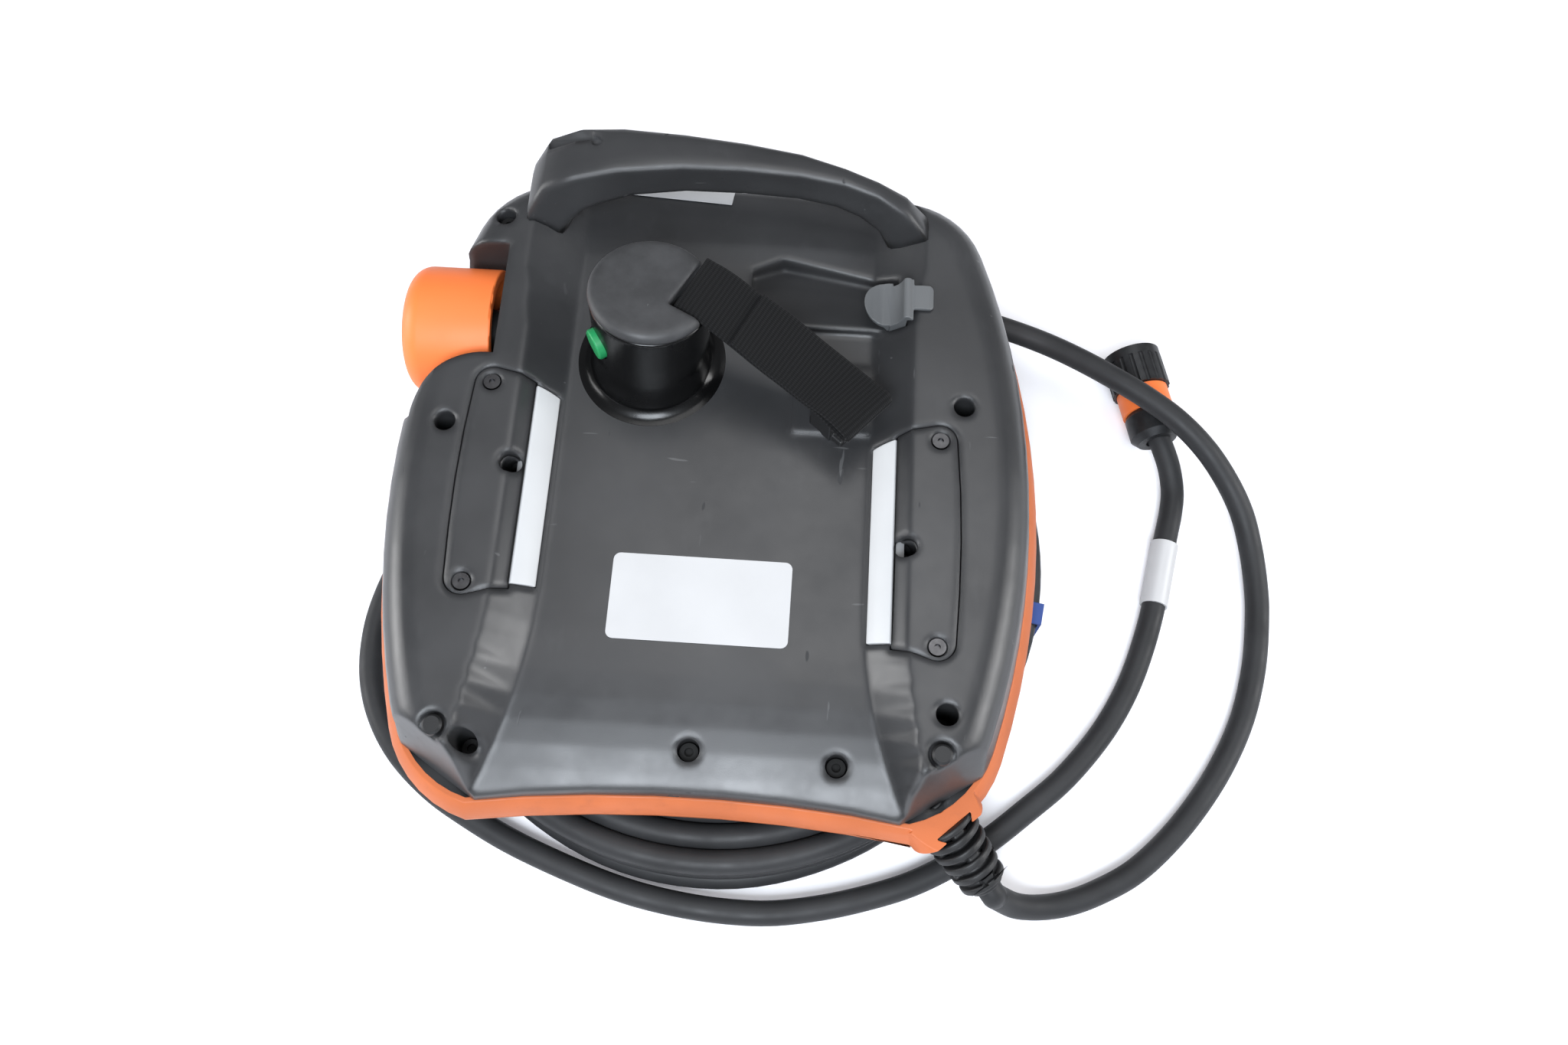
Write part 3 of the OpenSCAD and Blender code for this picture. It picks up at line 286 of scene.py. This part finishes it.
def make_finishes(c):
    return {
        "shell": worn_shell("black_shell", tuple(c.shell)),
        "satin_black": moulded("satin_black", tone(tuple(c.shell), 0.5), 0.42),
        "gloss_black": moulded("gloss_black", tone(tuple(c.shell), 0.09), 0.22, 0.000008, 0.5, 0.2, 0.36),
        "rubbed": rubbed("rubbed_crown", tone(tuple(c.shell), 1.15)),
        # Sunk screws are painted near-black and matt: painted shade at the bottom of their deep holes
        "sunk": moulded("sunk_screw_painted_shade", (0.004, 0.004, 0.004), 0.8, 0.00001, 0, 0.1),
        "slate": moulded("slate_grey", (0.115, 0.12, 0.124), 0.42, 0.00002, 0.3, 0.08),
        "rim": soft_rim("orange_rim", tuple(c.rim)),
        "cap": moulded("orange_cap", tuple(c.cap), 0.5, 0.00003, 0.3, 0.05),
        "bar": moulded("white_bar", tuple(c.bar), 0.42, 0.00002, 0.6, 0.04),
        "grey": moulded("grey_plastic", tuple(c.grey), 0.45, 0.00002, 0.4, 0.12),
        "green": moulded("green_button", (0.014, 0.29, 0.092), 0.4, 0.00001, 0.2, 0.1),
        "red": moulded("red_button", (0.5, 0.02, 0.012), 0.38, 0.00001, 0.2, 0.06),
        "yellow": moulded("yellow_collar", (0.72, 0.47, 0.02), 0.45, 0.00001, 0.2, 0.06),
        "rubber": moulded("black_rubber", (0.010, 0.0102, 0.011), 0.5, 0.00005, 0.2, 0.2),
        "jacket": cord_jacket("lead_jacket", tuple(c.jacket)),
        "strap": webbing("strap_web", (0.007, 0.007, 0.0075)),
        "tie": webbing("blue_tie", (0.09, 0.16, 0.50)),
        "sleeve": bare_film("white_sleeve"),
        "label": bare_film("label_film"),
        "steel": brushed("dark_screw", (0.10, 0.10, 0.105), 0.3),
        "metal": brushed("plug_metal", (0.035, 0.036, 0.038), 0.42, 0.6),
        "glass": glassy("screen_glass", (0.012, 0.014, 0.018)),
        "board": moulded("board_green", (0.02, 0.11, 0.05), 0.35, 0.00002, 0, 0.1),
    }


finishes = {}


def coat(piece, key):
    """Gives a piece or a CAD node one finish."""
    piece.data.materials.clear()
    piece.data.materials.append(finishes[key])


# ---------------------------------------------------------------- modelling helpers


def pick(*objects):
    """Selects these objects and no other, and makes the first active."""
    if bpy.context.object and bpy.context.object.mode != "OBJECT":
        bpy.ops.object.mode_set(mode="OBJECT")
    bpy.ops.object.select_all(action="DESELECT")
    for o in objects:
        o.select_set(True)
    bpy.context.view_layer.objects.active = objects[0]


def settle(piece):
    """Applies the piece's own place, turn and scale to its mesh."""
    pick(piece)
    bpy.ops.object.transform_apply(location=True, rotation=True, scale=True)


def modified(piece, kind, **settings):
    pick(piece)
    bpy.ops.object.modifier_add(type=kind)
    made = piece.modifiers[-1]
    for key, value in settings.items():
        setattr(made, key, value)
    bpy.ops.object.modifier_apply(modifier=made.name)


def smooth(piece, angle=35):
    pick(piece)
    bpy.ops.object.shade_smooth_by_angle(angle=math.radians(angle))


def refilled(piece, level):
    """Makes the flat faces at one height anew from the edges around them."""
    pick(piece)
    bpy.ops.object.mode_set(mode="EDIT")
    bpy.ops.mesh.select_mode(type="FACE")
    bpy.ops.mesh.select_all(action="DESELECT")
    bpy.ops.object.mode_set(mode="OBJECT")
    for face in piece.data.polygons:
        face.select = abs(face.normal.z) > 0.999 and abs(face.center.z - level) < 0.00005
    bpy.ops.object.mode_set(mode="EDIT")
    bpy.ops.mesh.delete(type="FACE")
    bpy.ops.mesh.select_mode(type="EDGE")
    bpy.ops.mesh.select_all(action="DESELECT")
    bpy.ops.mesh.select_non_manifold(extend=False, use_wire=False, use_boundary=True,
                                     use_multi_face=False, use_non_contiguous=False, use_verts=False)
    bpy.ops.mesh.fill(use_beauty=False)
    bpy.ops.mesh.select_all(action="SELECT")
    bpy.ops.mesh.normals_make_consistent(inside=False)
    bpy.ops.object.mode_set(mode="OBJECT")


# Edges that turn by more than this are eased
EASED_ABOVE = math.radians(32)
# Angle for a piece that keeps its facets, which its finish blends
FACETED = 1


def softened(node, body, name, finish, edge, angle, segments=2, levels=()):
    """A merged copy of a CAD solid, which stands for it: edges eased by a width, smooth below an angle."""
    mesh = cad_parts[node].data.copy()
    piece = bpy.data.objects.new(name, mesh)
    bpy.context.scene.collection.objects.link(piece)
    pick(piece)
    bpy.ops.object.mode_set(mode="EDIT")
    bpy.ops.mesh.select_all(action="SELECT")
    bpy.ops.mesh.remove_doubles(threshold=2e-6)
    bpy.ops.object.mode_set(mode="OBJECT")
    for level in levels:
        refilled(piece, level)
    pick(piece)
    bpy.ops.object.mode_set(mode="EDIT")
    bpy.ops.mesh.select_all(action="SELECT")
    bpy.ops.mesh.dissolve_limited(angle_limit=math.radians(0.4))
    bpy.ops.object.mode_set(mode="OBJECT")
    if edge:
        modified(piece, "BEVEL", width=edge, segments=segments, limit_method="ANGLE",
                 angle_limit=EASED_ABOVE, use_clamp_overlap=False, miter_outer="MITER_ARC")
    smooth(piece, angle)
    modified(piece, "WEIGHTED_NORMAL", keep_sharp=True)
    coat(piece, finish)
    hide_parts(node)
    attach(piece, body)


# ---------------------------------------------------------------- stage

CAMERA_AT = at(35.7, -182.1, 545.4)
CAMERA_HEADING, CAMERA_TILT, CAMERA_ROLL = math.radians(-1.93), math.radians(68.40), math.radians(1.49)
CAMERA_LENS, CAMERA_SENSOR = 30.43, 36


class PENDANT_OT_stage(bpy.types.Operator):
    """Floor, soft lamps and the camera"""

    bl_idname = "pendant.stage"
    bl_label = "Stage"

    def execute(self, context):
        bpy.ops.object.camera_add()
        camera = context.object
        camera.name = "camera"
        heading, tilt, roll = CAMERA_HEADING, CAMERA_TILT, CAMERA_ROLL
        ahead = Vector((math.sin(heading) * math.cos(tilt), math.cos(heading) * math.cos(tilt), -math.sin(tilt)))
        right = Vector((math.cos(heading), -math.sin(heading), 0))
        up = right.cross(ahead)
        side = right * math.cos(roll) + up * math.sin(roll)
        top = up * math.cos(roll) - right * math.sin(roll)
        turn = Matrix((side, top, -ahead)).transposed().to_4x4()
        camera.matrix_world = Matrix.Translation(CAMERA_AT) @ turn
        camera.data.lens = CAMERA_LENS
        camera.data.sensor_width = CAMERA_SENSOR
        camera.data.clip_start = 0.01
        context.scene.camera = camera

        bpy.ops.mesh.primitive_plane_add(size=8, location=(0, 0, -0.0002))
        floor = context.object
        floor.name = "floor"
        f = Finish("floor_paper", (0.86, 0.86, 0.88), 0.9)
        f.shader.inputs["Specular IOR Level"].default_value = 0.1
        seen = f.node("ShaderNodeLightPath").outputs["Is Camera Ray"]
        f.shader.inputs["Emission Color"].default_value = (0.93, 0.93, 1, 1)
        f.feed(f.shader.inputs["Emission Strength"], f.ramp(seen, 0, 1, 0, 0.2))
        floor.data.materials.append(f.material)

        def lamp(name, place, aim, size, power, colour=(1, 1, 1)):
            bpy.ops.object.light_add(type="AREA", location=place)
            made = context.object
            made.name = name
            made.data.size = size
            made.data.energy = power
            made.data.color = colour
            made.rotation_euler = (Vector(aim) - Vector(place)).to_track_quat("-Z", "Y").to_euler()

        lamp("softbox", (-0.05, -0.88, 1.25), (0, 0, 0.05), 0.65, 27, (0.87, 0.93, 1.0))
        lamp("top", (0.1, 0.35, 1.6), (0, 0, 0.05), 0.9, 7)
        lamp("left", (-1.2, 0.02, 0.42), (0, 0, 0.05), 0.55, 9)
        lamp("right", (1.2, 0.02, 0.55), (0, 0, 0.05), 0.6, 9)

        world = context.scene.world or bpy.data.worlds.new("world")
        context.scene.world = world
        world.use_nodes = True
        tree = world.node_tree
        back = tree.nodes["Background"]
        back.inputs[0].default_value = (0.95, 0.96, 1.0, 1)
        back.inputs[1].default_value = 0.22
        context.scene.view_settings.view_transform = "Standard"
        return {"FINISHED"}


# ---------------------------------------------------------------- lead

GLAND_AT = at(95.3, -99.3, 43.6)
GLAND_LONG = 0.032
GLAND_TILT, GLAND_HEADING = math.radians(29), math.radians(-48)
GLAND_WAY = Vector((math.cos(GLAND_TILT) * math.cos(GLAND_HEADING),
                    math.cos(GLAND_TILT) * math.sin(GLAND_HEADING), -math.sin(GLAND_TILT)))
GLAND_END = GLAND_AT + GLAND_LONG * GLAND_WAY

COIL_C = (5, 9)
LOOP = [(119, -123.5, 20), (128, -125.6, 12), (139, -125, 7), (150, -122.5, 5.2), (161, -118, 5),
        (175, -110, 5), (188, -98.5, 5), (201, -83.5, 5), (213.5, -65, 5), (223.5, -44.5, 5),
        (230, -22, 5), (233, 0, 5), (233.2, 14, 6), (231.3, 30, 8.5), (227, 45, 13), (219, 57.5, 19.5),
        (208.5, 69, 26), (196, 79.5, 30.5), (182.5, 89, 32), (168.5, 98.5, 31), (154.5, 108, 28.5),
        (140.5, 116, 26.3), (125, 122.5, 25), (108, 127.5, 24.8), (90, 131.2, 24.8), (72, 133.6, 24.8),
        (54, 134, 24.8)]
TAIL = [(-122, 36, 5), (-129, 20, 5), (-135, 4, 5), (-139.5, -12, 5), (-141.5, -28, 5), (-140, -46, 5),
        (-134, -63, 5), (-123, -79, 5), (-107, -93, 5), (-89, -103.6, 5), (-69.5, -113, 5), (-43, -122.8, 5),
        (-23, -128.6, 5), (-4, -132, 5), (14, -133.6, 5), (32, -133.4, 5), (50, -130.6, 5), (68.5, -125.8, 5),
        (87.5, -119, 5), (105, -109.5, 5), (120, -98.8, 5), (134, -87, 5), (147, -75.5, 5),
        (158.5, -62.5, 5), (168.5, -48.5, 5), (176.8, -33, 5), (183, -17, 5.3), (188, 0, 6), (191.6, 17, 6),
        (195.2, 34, 6), (198, 46, 6), (199.2, 56, 6.5), (197.5, 66, 9.5), (194.2, 74.5, 12.5), (191.4, 81, 13.4)]
# Where each stretch of the coil lies, as (column from outside, layer from below), in the order it was wound
IN_SECTOR = [(0, 2), (1, 2), (2, 2), (3, 2), (3, 1), (4, 0), (3, 0), (2, 0), (2, 1), (1, 1), (1, 0), (0, 1), (0, 0)]
AROUND = [(0, 2), (1, 2), (2, 2), (3, 2), (3, 1), (3, 0), (2, 0), (2, 1), (1, 1), (1, 0), (0, 1), (0, 0)]
JOINS, LEAVES = 76, 160
# How far the lowest layer spreads towards -Y
SAG = 0.0028


def wound(sizes):
    """Points of the coil, from where the loop joins its outermost top turn to where the tail leaves the bottom."""
    stretches = []
    start = JOINS
    for i, cell in enumerate(IN_SECTOR):
        stretches.append((start, start + LEAVES - JOINS, cell))
        start += LEAVES - JOINS
        if i < len(AROUND):
            stretches.append((start, start + 360 - (LEAVES - JOINS), AROUND[i]))
            start += 360 - (LEAVES - JOINS)
    ease = 16.0
    points = []
    for step in range(int((start - JOINS) / 20) + 1):
        angle = JOINS + 20 * step
        for i, (a, b, cell) in enumerate(stretches):
            if a <= angle <= b:
                share, other = 1.0, cell
                if angle - a < ease and i:
                    share, other = 0.5 + 0.5 * (angle - a) / ease, stretches[i - 1][2]
                elif b - angle < ease and i + 1 < len(stretches):
                    share, other = 0.5 + 0.5 * (b - angle) / ease, stretches[i + 1][2]
                column = cell[0] * share + other[0] * (1 - share)
                layer = cell[1] * share + other[1] * (1 - share)
                r = sizes.coil_r - sizes.lead_d / 2 - column * sizes.coil_pitch
                r += SAG * max(0, -math.sin(math.radians(angle))) ** 6 * max(0, 1 - layer)
                points.append(at(*COIL_C, 0) + Vector((r * math.cos(math.radians(angle)),
                              r * math.sin(math.radians(angle)), sizes.lead_d / 2 + layer * sizes.coil_pitch)))
                break
    return points


class PENDANT_OT_lead(bpy.types.Operator):
    """The lead, one curve from the gland through its coil to the plug"""

    bl_idname = "pendant.lead"
    bl_label = "Lead"

    def execute(self, context):
        sizes = context.scene.pendant_sizes
        exit_at = GLAND_END - 0.008 * GLAND_WAY
        points = [exit_at, GLAND_END, GLAND_END + 0.005 * GLAND_WAY] + [at(*p) for p in LOOP]
        points += wound(sizes) + [at(*p) for p in TAIL]
        data = bpy.data.curves.new("lead", "CURVE")
        data.dimensions = "3D"
        spline = data.splines.new("BEZIER")
        spline.bezier_points.add(len(points) - 1)
        lowest = sizes.lead_d / 2
        for i, (knot, point) in enumerate(zip(spline.bezier_points, points)):
            reach = (points[min(i + 1, len(points) - 1)] - points[max(i - 1, 0)]) / 6
            knot.handle_left_type = knot.handle_right_type = "FREE"
            knot.co = point
            knot.handle_left = point - reach
            knot.handle_right = point + reach
            knot.handle_left.z = max(knot.handle_left.z, lowest)
            knot.handle_right.z = max(knot.handle_right.z, lowest)
        spline.resolution_u = 6
        data.bevel_depth = sizes.lead_d / 2
        data.bevel_resolution = 6
        data.use_fill_caps = True
        lead = bpy.data.objects.new("lead", data)
        context.scene.collection.objects.link(lead)
        coat(lead, "jacket")
        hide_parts("cable_loop", "cable_tail", "cable_coil")
        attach(lead, "housing")
        return {"FINISHED"}


# ---------------------------------------------------------------- hand strap

# Middle of the doubled strap from inside the dome's slot to its fold: place and heading in degrees
STRAP_RUN = [(-10.9, 83.8, 114.2, -27), (-7.2, 81.9, 114.4, -27), (-3, 79.7, 114.2, -27), (4, 76, 111.6, -27),
             (12, 71.8, 107.4, -27), (21, 67, 103.2, -28), (30, 62.2, 98.9, -30), (37, 58.4, 95.5, -33),
             (42, 55.5, 93.6, -36), (46, 52.8, 92.8, -39), (50, 49.8, 92.8, -41), (54, 46.4, 92.8, -42),
             (57.5, 43.2, 92.8, -42)]
PLY = 0.0017
STITCHED_AT = 0.30
# How far the lower ply hangs away from the upper one where the strap loops round its anchor
LOOP_SAG = 0.0034


def strap_stations(count):
    """Places, forward ways and side ways evenly along the strap's middle."""
    places = [at(x, y, z) for x, y, z, _ in STRAP_RUN]
    sides = [Vector((math.sin(math.radians(a)), -math.cos(math.radians(a)), 0)) for *_, a in STRAP_RUN]
    reach = [0.0]
    for a, b in zip(places, places[1:]):
        reach.append(reach[-1] + (b - a).length)

    def curve(rows, t):
        i = min(max(k for k in range(len(reach)) if reach[k] <= t + 1e-9), len(reach) - 2)
        u = (t - reach[i]) / (reach[i + 1] - reach[i])
        p0, p1, p2, p3 = rows[max(i - 1, 0)], rows[i], rows[i + 1], rows[min(i + 2, len(rows) - 1)]
        return 0.5 * ((2 * p1) + (p2 - p0) * u + (2 * p0 - 5 * p1 + 4 * p2 - p3) * u ** 2
                      + (3 * p1 - p0 - 3 * p2 + p3) * u ** 3)

    out = []
    for k in range(count):
        t = reach[-1] * k / (count - 1)
        place, side = curve(places, t), curve(sides, t).normalized()
        before, after = curve(places, max(t - 0.0005, 0)), curve(places, min(t + 0.0005, reach[-1]))
        ahead = (after - before).normalized()
        out.append((place, ahead, side))
    return out


def ribbon(name, run, width, thick):
    """Closed woven ribbon through (place, side, up) stations, with its UV map in metres along and across."""
    half, t = width / 2, thick / 2
    ring = [(-half, -t * 0.4), (-half, t * 0.4), (-half + 0.0006, t), (-half + 0.0022, t * 1.12), (-half + 0.004, t)]
    ring += [(x, t) for x in (-half * 0.4, 0, half * 0.4)]
    ring += [(half - 0.004, t), (half - 0.0022, t * 1.12), (half - 0.0006, t), (half, t * 0.4)]
    ring += [(-x, -z) for x, z in ring[1:-1]]
    work = bmesh.new()
    uv = work.loops.layers.uv.new("UVMap")
    rows, along = [], [0.0]
    for i, (place, side, up) in enumerate(run):
        rows.append([work.verts.new(place + side * x + up * z) for x, z in ring])
        if i:
            along.append(along[-1] + (place - run[i - 1][0]).length)
    count = len(ring)
    for i in range(len(rows) - 1):
        for k in range(count):
            n = (k + 1) % count
            face = work.faces.new((rows[i][k], rows[i][n], rows[i + 1][n], rows[i + 1][k]))
            for loop, place in zip(face.loops, ((i, k), (i, n), (i + 1, n), (i + 1, k))):
                loop[uv].uv = (along[place[0]], ring[place[1]][0])
    for row in (rows[0], rows[-1]):
        face = work.faces.new(row)
        for loop, (x, z) in zip(face.loops, ring):
            loop[uv].uv = (along[0 if row is rows[0] else -1] + z, x)
    bmesh.ops.recalc_face_normals(work, faces=work.faces)
    mesh = bpy.data.meshes.new(name)
    work.to_mesh(mesh)
    work.free()
    piece = bpy.data.objects.new(name, mesh)
    bpy.context.scene.collection.objects.link(piece)
    smooth(piece, 40)
    return piece, along[-1]


class PENDANT_OT_strap(bpy.types.Operator):
    """Webbing strap, one ribbon folded round its anchor and stitched back on itself"""

    bl_idname = "pendant.strap"
    bl_label = "Hand strap"

    def execute(self, context):
        sizes = context.scene.pendant_sizes
        stations = strap_stations(72)
        lift = PLY / 2 + 0.00009
        under, over = [], []
        for i, (place, ahead, side) in enumerate(stations):
            share = i / (len(stations) - 1)
            sway = math.radians(2.4 * math.sin(9 * share) + 1.1 * math.sin(23 * share))
            up = side.cross(ahead)
            side, up = side * math.cos(sway) + up * math.sin(sway), up * math.cos(sway) - side * math.sin(sway)
            loop = min(1.0, max(0.0, (share - 0.80) / 0.20))
            sag = LOOP_SAG * loop * loop * (3 - 2 * loop)
            under.append((place - up * (lift + sag), side, up))
            if share >= STITCHED_AT:
                over.append((place + up * lift, side, up))
        place, ahead, side = stations[-1]
        radius = lift + LOOP_SAG / 2
        middle = (under[-1][0] + over[-1][0]) / 2
        up = (over[-1][0] - under[-1][0]).normalized()
        fold = []
        for k in range(1, 14):
            turn = math.radians(-90 + 180 * k / 14)
            outward = ahead * math.cos(turn) + up * math.sin(turn)
            fold.append((middle + outward * radius, over[-1][1], -outward.normalized()))
        run = under + fold + [(p, s, -u) for p, s, u in reversed(over)]
        strap, long = ribbon("strap", run, sizes.strap_w, PLY)
        coat(strap, "strap")
        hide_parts("hand_strap")
        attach(strap, "housing")
        return {"FINISHED"}


# ---------------------------------------------------------------- bare labels

FILM_THICK = 0.0003


def film(name, centre, width, height, corner, turn, tilt=0.0):
    """Flat rounded film lying at a place, its lower face on that height."""
    bpy.ops.object.select_all(action="DESELECT")
    bpy.ops.mesh.primitive_plane_add(size=1, location=(0, 0, 0))
    piece = bpy.context.object
    piece.name = name
    piece.scale = (width, height, 1)
    settle(piece)
    bpy.ops.object.mode_set(mode="EDIT")
    bpy.ops.mesh.select_all(action="SELECT")
    bpy.ops.mesh.bevel(offset=corner, segments=6, affect="VERTICES")
    bpy.ops.object.mode_set(mode="OBJECT")
    modified(piece, "SOLIDIFY", thickness=FILM_THICK, offset=1)
    modified(piece, "BEVEL", width=FILM_THICK * 0.3, segments=2, limit_method="ANGLE")
    piece.rotation_euler = (0, 0, turn)
    settle(piece)
    piece.rotation_euler = (tilt, 0, 0)
    piece.location = centre
    settle(piece)
    coat(piece, "label")
    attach(piece, "housing")


class PENDANT_OT_labels(bpy.types.Operator):
    """Bare label on the back and the notice strip below the handle"""

    bl_idname = "pendant.labels"
    bl_label = "Bare labels"

    def execute(self, context):
        sizes = context.scene.pendant_sizes
        film("back_label", at(-0.5, -27.3, 70.02), sizes.label_w, sizes.label_h, 0.0028, math.radians(-0.3))
        film("notice_strip", at(-23, 158.2, 64.6), 0.044, 0.009, 0.0005, math.radians(-4.5), math.radians(-17.4))
        return {"FINISHED"}


# ---------------------------------------------------------------- housing and its fittings


class PENDANT_OT_housing(bpy.types.Operator):
    """Both shells, rims, covers, handle and grip dome"""

    bl_idname = "pendant.housing"
    bl_label = "Housing"

    def execute(self, context):
        rear, front, upper, lower = (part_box(n) for n in ("rear_housing", "front_housing", "rim_upper", "rim_lower"))
        softened("rear_housing", "housing", "rear_shell", "shell", 0.0, FACETED, levels=(rear[0].z,))
        softened("front_housing", "housing", "front_shell", "satin_black", 0.0, 28, levels=(front[0].z, front[1].z))
        softened("rim_upper", "housing", "upper_rim", "rim", 0.00045, 28, levels=(upper[0].z, upper[1].z))
        softened("rim_lower", "housing", "lower_rim", "rim", 0.00045, 28, levels=(lower[0].z, lower[1].z))
        softened("carry_handle", "housing", "handle", "shell", 0.0, 40)
        for side in ("left", "right"):
            softened(f"switch_cover_{side}", "housing", f"cover_{side}", "shell", 0.0006, 35)
            softened(f"enabling_bar_{side}", f"bar_{side}", f"bar_{side}", "bar", 0.0005, 35)
        softened("dome_grip", "housing", "dome", "gloss_black", 0.0004, 35)
        softened("dome_cap", "housing", "dome_top", "rubbed", 0.0008, 35, segments=3)
        softened("usb_cap", "usb_cover", "socket_cover", "slate", 0.0005, 30)
        softened("dome_enabling_bar", "dome_bar", "dome_side_bar", "bar", 0.0005, 35)
        softened("start_button", "start", "green_start", "green", 0.0, 35)
        softened("cable_gland", "housing", "gland", "rubber", 0.0009, 35, segments=3)
        softened("strap_anchor", "housing", "anchor", "satin_black", 0.0008, 35)
        softened("mouse_cap", "mouse", "mouse_shell", "cap", 0.0, 35)
        return {"FINISHED"}


PLAIN = {
    "grey": ["usb_socket", "mouse_carrier", "stop_stem", "stop_switch", "release_button", "menu_key",
             "keyboard_key", "status_key_1", "status_key_2", "status_key_3", "back_key", "override_key_1",
             "override_key_2"] + [f"jog_key_{i}" for i in range(1, 7)],
    "satin_black": ["mouse_base", "plug_insert"],
    "rubber": ["rubber_feet"],
    "steel": ["cover_screws"],
    # The housing screws take the near-black finish that paints the shade of their deep holes
    "sunk": ["housing_screws"],
    "red": ["stop_head", "halt_key"],
    "green": ["run_key"],
    "yellow": ["stop_collar"],
    "metal": ["key_switch", "key_rotor", "plug_shell", "plug_nut"],
    "cap": ["plug_ring"],
    "sleeve": ["cable_sleeve"],
    "tie": ["coil_tie"],
    "glass": ["touch_glass"],
    "board": ["main_board", "key_board", "display_module"],
}


class PENDANT_OT_fittings(bpy.types.Operator):
    """Finishes for the solids that keep their own shape"""

    bl_idname = "pendant.fittings"
    bl_label = "Fittings"

    def execute(self, context):
        for finish, nodes in PLAIN.items():
            for node in nodes:
                coat(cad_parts[node], finish)
        return {"FINISHED"}


class PENDANT_PT_panel(bpy.types.Panel):
    """Lists the steps that dress the pendant"""

    bl_label = "Teach Pendant"
    bl_idname = "PENDANT_PT_panel"
    bl_space_type = "VIEW_3D"
    bl_region_type = "UI"
    bl_category = "Pendant"

    def draw(self, context):
        for step in STEPS:
            self.layout.operator(step.bl_idname)
        for group in (context.scene.pendant_sizes, context.scene.pendant_colours):
            box = self.layout.box()
            for key in group.__annotations__:
                box.prop(group, key)


STEPS = (PENDANT_OT_stage, PENDANT_OT_lead, PENDANT_OT_strap, PENDANT_OT_labels, PENDANT_OT_housing,
         PENDANT_OT_fittings)
CLASSES = (PendantSizes, PendantColours, *STEPS, PENDANT_PT_panel)


def register():
    for item in CLASSES:
        bpy.utils.register_class(item)
    bpy.types.Scene.pendant_sizes = PointerProperty(type=PendantSizes)
    bpy.types.Scene.pendant_colours = PointerProperty(type=PendantColours)


def unregister():
    del bpy.types.Scene.pendant_colours
    del bpy.types.Scene.pendant_sizes
    for item in reversed(CLASSES):
        bpy.utils.unregister_class(item)


def main():
    register()
    finishes.update(make_finishes(bpy.context.scene.pendant_colours))
    for step in STEPS:
        group, name = step.bl_idname.split(".")
        getattr(getattr(bpy.ops, group), name)()


if __name__ == "__main__":
    main()
